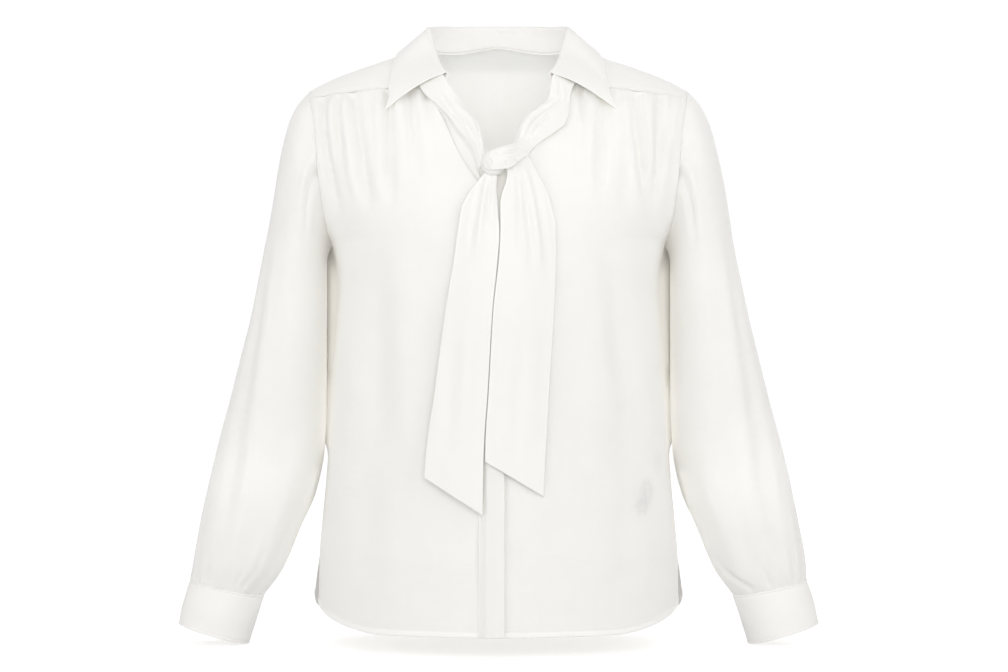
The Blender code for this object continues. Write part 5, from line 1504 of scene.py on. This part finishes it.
def knot_object(material):
    """The rolled body of the knot, one closed lump with folds running round it."""
    up, around = KNOT_ROWS, KNOT_COLUMNS
    b = np.linspace(-math.pi / 2, math.pi / 2, up + 1)[:, None]
    a = np.linspace(0, 2 * math.pi, around, endpoint=False)[None, :]
    base = knot_point(a + 0 * b, b + 0 * a)
    x = base[..., 0] - KNOT_CENTRE[0]
    z = base[..., 2] - KNOT_CENTRE[2]
    relief = creases(KNOT_CREASES, x, -z) * (base[..., 1] < KNOT_CENTRE[1] + 0.003)
    relief = relief * np.cos(b) - 0.0002
    n = unit((base - KNOT_CENTRE) / (KNOT_HALF**2))
    p = base + n * relief[..., None]
    inner = p[1:-1].reshape(-1, 3)
    vertices = np.concatenate([p[:1, 0], inner, p[-1:, 0]])
    rings = 1 + np.arange((up - 1) * around).reshape(up - 1, around)
    quads = closed_ball(rings, 0, len(vertices) - 1)[:, ::-1]
    turn = np.arctan2(vertices[:, 0], -vertices[:, 1] - 0.1)
    uv = np.stack([turn * 0.02, vertices[:, 2]], axis=1)
    mesh = fill_mesh("tie_knot_cloth", vertices, quads, uv, np.full(len(vertices), 0.4))
    return as_piece("tie_knot_cloth", mesh, material)


# ---------------------------------------------------------------- buttons and stitches
def button_object(name, centre, axis, radius, height, material):
    """A round sewn button with a raised rim, a dished face and four holes crossed by thread."""
    axis = unit(np.asarray(axis, float))
    u = unit(np.cross(np.array([0.0, 0.0, 1.0]), axis))
    w = np.cross(axis, u)
    around = BUTTON_SIDES
    turn = np.linspace(0, 2 * math.pi, around, endpoint=False)
    rows = []
    for r, h in BUTTON_PROFILE:
        x = radius * r * np.cos(turn)
        y = radius * r * np.sin(turn)
        z = np.full(around, height * (h - 0.5))
        if r < 0.6 and h > 0.5:
            for hx, hy in ((1, 1), (1, -1), (-1, 1), (-1, -1)):
                away = np.hypot(x - hx * HOLE_PLACE * radius, y - hy * HOLE_PLACE * radius)
                z = z - height * 0.62 * smooth((HOLE_SIZE * radius - away) / (0.05 * radius))
        rows.append(centre + x[:, None] * u + y[:, None] * w + z[:, None] * axis)
    p = np.array(rows)
    tips = ([centre - axis * height / 2], [p[-1].mean(axis=0)])
    vertices = np.concatenate([p.reshape(-1, 3), *tips])
    rings = np.arange(len(rows) * around).reshape(len(rows), around)
    mesh = fill_mesh(name, vertices, closed_ball(rings, len(vertices) - 2, len(vertices) - 1))
    obj = as_piece(name, mesh, material)
    ends = []
    for hx, hy in ((1, 1), (1, -1)):
        a = centre + (hx * u + hy * w) * HOLE_PLACE * radius + axis * height * 0.30
        b = centre - (hx * u + hy * w) * HOLE_PLACE * radius + axis * height * 0.30
        ends.append((a, b))
    return obj, ends


def line_at(cloth, field, level, lift):
    """Where a field on a cloth grid crosses a level, one place in each column, with its normal."""
    over = field >= level
    change = over[:-1] != over[1:]
    has = change.any(axis=0)
    columns = np.nonzero(has)[0]
    row = np.argmax(change, axis=0)[columns]
    a = field[row, columns]
    b = field[row + 1, columns]
    t = ((level - a) / np.where(a == b, 1.0, b - a))[:, None]
    p = cloth.p[row, columns] * (1 - t) + cloth.p[row + 1, columns] * t
    n = unit(cloth.n[row, columns] * (1 - t) + cloth.n[row + 1, columns] * t)
    return p + n * lift, n


def across_line(cloth, field, level, lift):
    """As line_at, one place in each row."""
    turned = Cloth.__new__(Cloth)
    turned.p = cloth.p.swapaxes(0, 1)
    turned.n = cloth.n.swapaxes(0, 1)
    return line_at(turned, field.T, level, lift)


def along_line(places, run, values):
    """Values at places along a line, each column on its own."""
    return np.stack([np.interp(places, run, values[:, k]) for k in range(3)], axis=1)


def stitches(lines):
    """Vertices and faces of a row of stitches along each line of points and normals."""
    vertices, faces = [], []
    for p, n in lines:
        run = run_along(p)
        if run[-1] < 2 * STITCH_PITCH:
            continue
        starts = np.arange(0.5 * STITCH_PITCH, run[-1] - STITCH_LENGTH, STITCH_PITCH)
        a = along_line(starts, run, p)
        b = along_line(starts + STITCH_LENGTH, run, p)
        up = unit(along_line(starts + STITCH_LENGTH / 2, run, n))
        along = unit(b - a)
        side = unit(np.cross(along, up))
        mid = (a + b) / 2
        r = STITCH_RADIUS
        for end_a, end_b, m, s, h in zip(a - up * r * 0.5, b - up * r * 0.5, mid, side, up):
            base = len(vertices)
            quarter = (end_b - end_a) * 0.28
            vertices.append(end_a)
            for c in (m - quarter, m + quarter):
                vertices.extend([c + s * r, c + h * r * 1.1, c - s * r, c - h * r * 0.6])
            vertices.append(end_b)
            for k in range(4):
                q = (k + 1) % 4
                faces.append((base, base + 1 + q, base + 1 + k, base + 1 + k))
                faces.append((base + 1 + k, base + 1 + q, base + 5 + q, base + 5 + k))
                faces.append((base + 9, base + 5 + k, base + 5 + q, base + 5 + q))
    return np.array(vertices), np.array(faces)


def stitch_object(name, lines, material):
    return as_piece(name, fill_mesh(name, *stitches(lines)), material)


def thread_cross(name, ends, axis, material):
    """Two short threads crossing between a button's holes."""
    lines = []
    for a, b in ends:
        t = np.linspace(0, 1, 9)[:, None]
        p = a + (b - a) * t + axis * 0.0003 * np.sin(np.pi * t)
        lines.append((p, np.repeat(axis[None, :], 9, axis=0)))
    vertices, faces = [], []
    for p, n in lines:
        along = unit(np.gradient(p, axis=0))
        side = unit(np.cross(along, n))
        base = len(vertices)
        for q, s, h in zip(p, side, n):
            vertices.extend([q + (s * math.cos(a) + h * math.sin(a)) * THREAD_RADIUS
                             for a in np.linspace(0, 2 * math.pi, 8, endpoint=False)])
        for i in range(len(p) - 1):
            for k in range(8):
                m = (k + 1) % 8
                at = base + i * 8
                faces.append((at + k, at + m, at + 8 + m, at + 8 + k))
        for row, order in ((0, 1), (len(p) - 1, -1)):
            ring = [base + row * 8 + k for k in range(8)][::order]
            faces.append((ring[0], ring[1], ring[2], ring[3]))
            faces.append((ring[0], ring[3], ring[4], ring[7]))
            faces.append((ring[4], ring[5], ring[6], ring[7]))
    mesh = fill_mesh(name, np.array(vertices), np.array(faces))
    return as_piece(name, mesh, material)


# ---------------------------------------------------------------- the garment
cloth_plain = cloth_material("crepe_cloth")
cloth_marked = cloth_material("crepe_cloth_marked", marked=True)
cloth_double = cloth_material("crepe_cloth_double", DOUBLE_THROUGH)
cloth_collar = cloth_material("crepe_cloth_collar", COLLAR_THROUGH)
thread = plain_material("sewing_thread", THREAD_COLOUR, 0.6, 0.08, 4000.0)
button_finish = plain_material("button_satin", BUTTON_COLOUR, 0.32, 0.10, 700.0)

fronts = {-1: front_cloth(-1), 1: front_cloth(1)}
back = back_cloth()
yoke = yoke_cloths()
sleeves = {-1: sleeve_cloth(-1), 1: sleeve_cloth(1)}
cuffs = {-1: cuff_cloth(-1), 1: cuff_cloth(1)}
placket = placket_cloth()
collar = collar_cloth()
band_right = band_right_cloth()
band_left = band_cloth(BAND_LEFT, BAND_STEP, BAND_LEFT_CREASES)
tail_right = tail_cloth(TAIL_RIGHT, TAIL_RIGHT_FOLDS, 111)
tail_left = tail_cloth(TAIL_LEFT, TAIL_LEFT_FOLDS, 112)
wrap = band_cloth(WRAP, WRAP_STEP, WRAP_CREASES)

# Where the faint grey patch lies on the left front.
for x0, z0, wide, tall, strength in GREY_PATCHES:
    p = fronts[1].p
    away = np.hypot((p[..., 0] - x0) / wide, (p[..., 2] - z0) / tall)
    fronts[1].mark = fronts[1].mark + strength * smooth(1.25 - away)

for side in (-1, 1):
    tuck(sleeves[side], "top", TUCK_REACH, TUCK_DROP)
    tuck(sleeves[side], "foot", TUCK_REACH, CUFF_TUCK_DROP)
    tuck(fronts[side], "top", TUCK_REACH, TUCK_DROP)
sewn = smooth((VENT_TOP - 0.004 - UNDERARM - back_side_run(back)) / 0.01) + 0.01
tuck(back, "first", TUCK_REACH, TUCK_DROP, sewn)
tuck(back, "last", TUCK_REACH, TUCK_DROP, sewn)
tuck(back, "top", TUCK_REACH, TUCK_DROP)

# Pieces of cloth: node, grids, thickness, material
SHELLS = (
    ("front_right", [fronts[-1]], CLOTH, cloth_plain),
    ("front_left", [fronts[1]], CLOTH, cloth_marked),
    ("back", [back], CLOTH, cloth_plain),
    ("yoke", yoke, CLOTH, cloth_plain),
    ("sleeve_right", [sleeves[-1]], CLOTH, cloth_plain),
    ("sleeve_left", [sleeves[1]], CLOTH, cloth_plain),
    ("cuff_right", [cuffs[-1]], CUFF_CLOTH, cloth_double),
    ("cuff_left", [cuffs[1]], CUFF_CLOTH, cloth_double),
    ("placket", [placket], DOUBLE_CLOTH, cloth_plain),
    ("collar", [collar], DOUBLE_CLOTH, cloth_collar),
    ("tie_band_right", [band_right], TIE_CLOTH, cloth_double),
    ("tie_band_left", [band_left], TIE_CLOTH, cloth_double),
    ("tie_tail_right", [tail_right], TIE_CLOTH, cloth_double),
    ("tie_tail_left", [tail_left], TIE_CLOTH, cloth_double),
    ("tie_wrap", [wrap], TIE_CLOTH, cloth_double),
)
pieces = {
    title: shell(title + "_cloth", cloths, thickness, material)
    for title, cloths, thickness, material in SHELLS
}
pieces["tie_knot"] = knot_object(cloth_double)
for title, piece in pieces.items():
    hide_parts(title)


def sew_button(title, centre, facing, radius):
    """A button in place of the CAD's, and the thread that holds it."""
    made, ends = button_object(title + "_disc", centre, facing, radius, BUTTON_HEIGHT,
                               button_finish)
    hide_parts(title)
    thread_cross(title + "_thread", ends, facing, thread)


for k, girth in enumerate(BUTTON_GIRTHS):
    lift = BUTTON_SEAT + SEWN_ON_GAP + BUTTON_HEIGHT / 2
    spot = on_front(BUTTON_LINE, -girth, lift)
    facing = torso_normal(front_girth(BUTTON_LINE, -girth), 0.0)
    title = f"front_button_{k + 1}"
    sew_button(title, spot, facing, BUTTON_RADIUS)
for hand, side in (("right", -1), ("left", 1)):
    mirror = np.array([side, 1.0, 1.0])
    mid = np.mean(np.array(CUFF), axis=0)
    p, n = ring_points(mid[None], np.array([CUFF_OVER_END - 360 + CUFF_BUTTON_ANGLE]))
    lift = CUFF_LIFT + CUFF_BUTTON_SEAT + CUFF_BUTTON_GAP + BUTTON_HEIGHT / 2
    title = "cuff_button_" + hand
    sew_button(title, (p[0] + n[0] * lift) * mirror, n[0] * mirror, CUFF_BUTTON_RADIUS)

# Rows of stitches, each on the piece that it holds
seams = {}
for title, cloth in (("front_right", fronts[-1]), ("front_left", fronts[1]), ("back", back)):
    seams[title] = [line_at(cloth, cloth.from_foot, HEM_STITCH, HEM_STITCH_LIFT)]
for side, title in ((-1, "front_right"), (1, "front_left")):
    cloth = fronts[side]
    in_vent = np.where(cloth.v > VENT_STITCH_FROM, cloth.u, -1.0)
    seams[title].append(across_line(cloth, in_vent, VENT_STITCH, CLOTH / 2))
seams["yoke"] = [line_at(c, c.v, YOKE_STITCH, CLOTH / 2) for c in yoke[:2]]
seams["yoke"].append(line_at(yoke[2], yoke[2].from_foot, YOKE_STITCH, CLOTH / 2))
seams["placket"] = [across_line(placket, placket.u, PLACKET_STITCH, DOUBLE_CLOTH / 2)]
for side, title in ((-1, "cuff_right"), (1, "cuff_left")):
    cloth = cuffs[side]
    seams[title] = [
        line_at(cloth, away, CUFF_STITCH, CUFF_CLOTH / 2)
        for away in (cloth.v, cloth.from_foot)
    ]
inside = collar.from_sides > COLLAR_STITCH
leaf_edge = np.where(inside, collar.from_foot, -1.0)
seams["collar"] = [line_at(collar, leaf_edge, COLLAR_STITCH, DOUBLE_CLOTH / 2)]
made_stitches = {
    title: stitch_object(title + "_stitches", lines, thread)
    for title, lines in seams.items()
}

# ---------------------------------------------------------------- floor, light and camera
scene = bpy.context.scene
FLOOR = CAD_BOX[0][2] - 0.0006


def studio_material(name, colour, glow):
    """Matt white paper, a little lit of itself so that it stays white in the picture; it is lit
    less of itself near the garment, a painted shade on the floor round the garment.
    """
    values = {"Roughness": 0.95, "Specular IOR Level": 0.0, "Emission Strength": glow}
    material, tree, shader = new_material(name, values)
    place = node(tree, "ShaderNodeTexCoord")
    # Distance from a point just in front of the garment: the glow is dimmer near it, painted shade
    # on the floor, and full white farther off.
    spread = node(tree, "ShaderNodeVectorMath", operation="MULTIPLY_ADD")
    fill(spread, {1: (0.6, 1.0, 0.0), 2: (0.0, 0.35, 0.0)})
    tree.links.new(place.outputs["Object"], spread.inputs[0])
    away = node(tree, "ShaderNodeVectorMath", operation="LENGTH")
    tree.links.new(spread.outputs["Vector"], away.inputs[0])
    reach = node(tree, "ShaderNodeMapRange", interpolation_type="SMOOTHSTEP")
    tree.links.new(away.outputs["Value"], reach.inputs["Value"])
    fill(reach, {"From Min": 0.0, "From Max": 0.75})
    tree.links.new(mix_colour(tree, reach.outputs["Result"], (0.70, 0.70, 0.70), (1.0, 1.0, 1.0)),
                   shader.inputs["Emission Color"])
    grain = noise(tree, place.outputs["Object"], 40.0, 2.0)
    tree.links.new(mix_colour(tree, grain, colour, tuple(c * 0.995 for c in colour)),
                   shader.inputs["Base Color"])
    return material


def cyclorama():
    """A round floor that curves up into a wall on every side of the garment."""
    profile = [(STUDIO_FLAT * max(k, 0.001) / 8, 0.0) for k in range(9)]
    for a in np.radians(np.linspace(0, 90, 13)[1:]):
        profile.append((STUDIO_FLAT + STUDIO_COVE * math.sin(a), STUDIO_COVE * (1 - math.cos(a))))
    profile.append((STUDIO_FLAT + STUDIO_COVE, STUDIO_WALL))
    turns = np.linspace(0, 2 * math.pi, 97)[:-1]
    count = len(turns)
    vertices = [(r * math.cos(t), r * math.sin(t), FLOOR + z) for r, z in profile for t in turns]
    quads = [
        (row + k, row + (k + 1) % count, row + count + (k + 1) % count, row + count + k)
        for row in range(0, count * (len(profile) - 1), count)
        for k in range(count)
    ]
    mesh = fill_mesh("studio_floor", np.array(vertices), np.array(quads))
    mesh.materials.append(studio_material("studio_paper", (0.86, 0.86, 0.86), FLOOR_GLOW))
    obj = bpy.data.objects.new("studio_floor", mesh)
    obj.visible_diffuse = False
    scene.collection.objects.link(obj)


def light_object(name, kind, place, power, colour):
    """A light that the camera doesn't see."""
    light = bpy.data.lights.new(name, kind)
    light.energy = power
    light.color = colour
    obj = bpy.data.objects.new(name, light)
    obj.location = place
    obj.visible_camera = False
    scene.collection.objects.link(obj)
    return obj


def softbox(name, place, target, size, power):
    obj = light_object(name, "AREA", place, power, (1.0, 1.0, 1.0))
    obj.data.shape = "RECTANGLE"
    obj.data.size, obj.data.size_y = size
    aim = mathutils.Vector(target) - mathutils.Vector(place)
    obj.rotation_euler = aim.to_track_quat("-Z", "Y").to_euler()


def inner_glow(name, place, radius, power):
    """Soft light that reached the inside of the garment through its thin cloth."""
    light_object(name, "POINT", place, power, INNER_COLOUR).data.shadow_soft_size = radius


cyclorama()
for name, place, target, size, power in LIGHTS:
    softbox(name, place, target, size, power)
for side, hand in ((-1, "right"), (1, "left")):
    mirror = np.array([side, 1.0, 1.0])
    for k, (place, facing, deep, tall, power) in enumerate(SLITS):
        place = np.array(place) * mirror
        softbox(f"slit_{hand}_{k}", place, place + np.array(facing) * mirror, (deep, tall), power)
for name, place, radius, power in INNER_LIGHTS:
    inner_glow(name, place, radius, power)

world = bpy.data.worlds.new("studio_air")
world.use_nodes = True
background = world.node_tree.nodes["Background"]
fill(background, {"Color": (1.0, 1.0, 1.0, 1.0), "Strength": WORLD_STRENGTH})
scene.world = world
scene.view_settings.view_transform = "Standard"
scene.view_settings.look = "None"
scene.view_settings.exposure = 0.0
scene.view_settings.gamma = 1.0
scene.cycles.max_bounces = 16
scene.cycles.diffuse_bounces = 10
scene.cycles.transmission_bounces = 10

camera = bpy.data.cameras.new("camera")
camera.lens = 85.0
camera.sensor_width = 36.0
camera.clip_start = 0.05
camera_object = bpy.data.objects.new("camera", camera)
camera_object.location = (0.006, -2.62, -0.3036)
camera_object.rotation_euler = (math.radians(90), 0.0, 0.0)
scene.collection.objects.link(camera_object)
scene.camera = camera_object
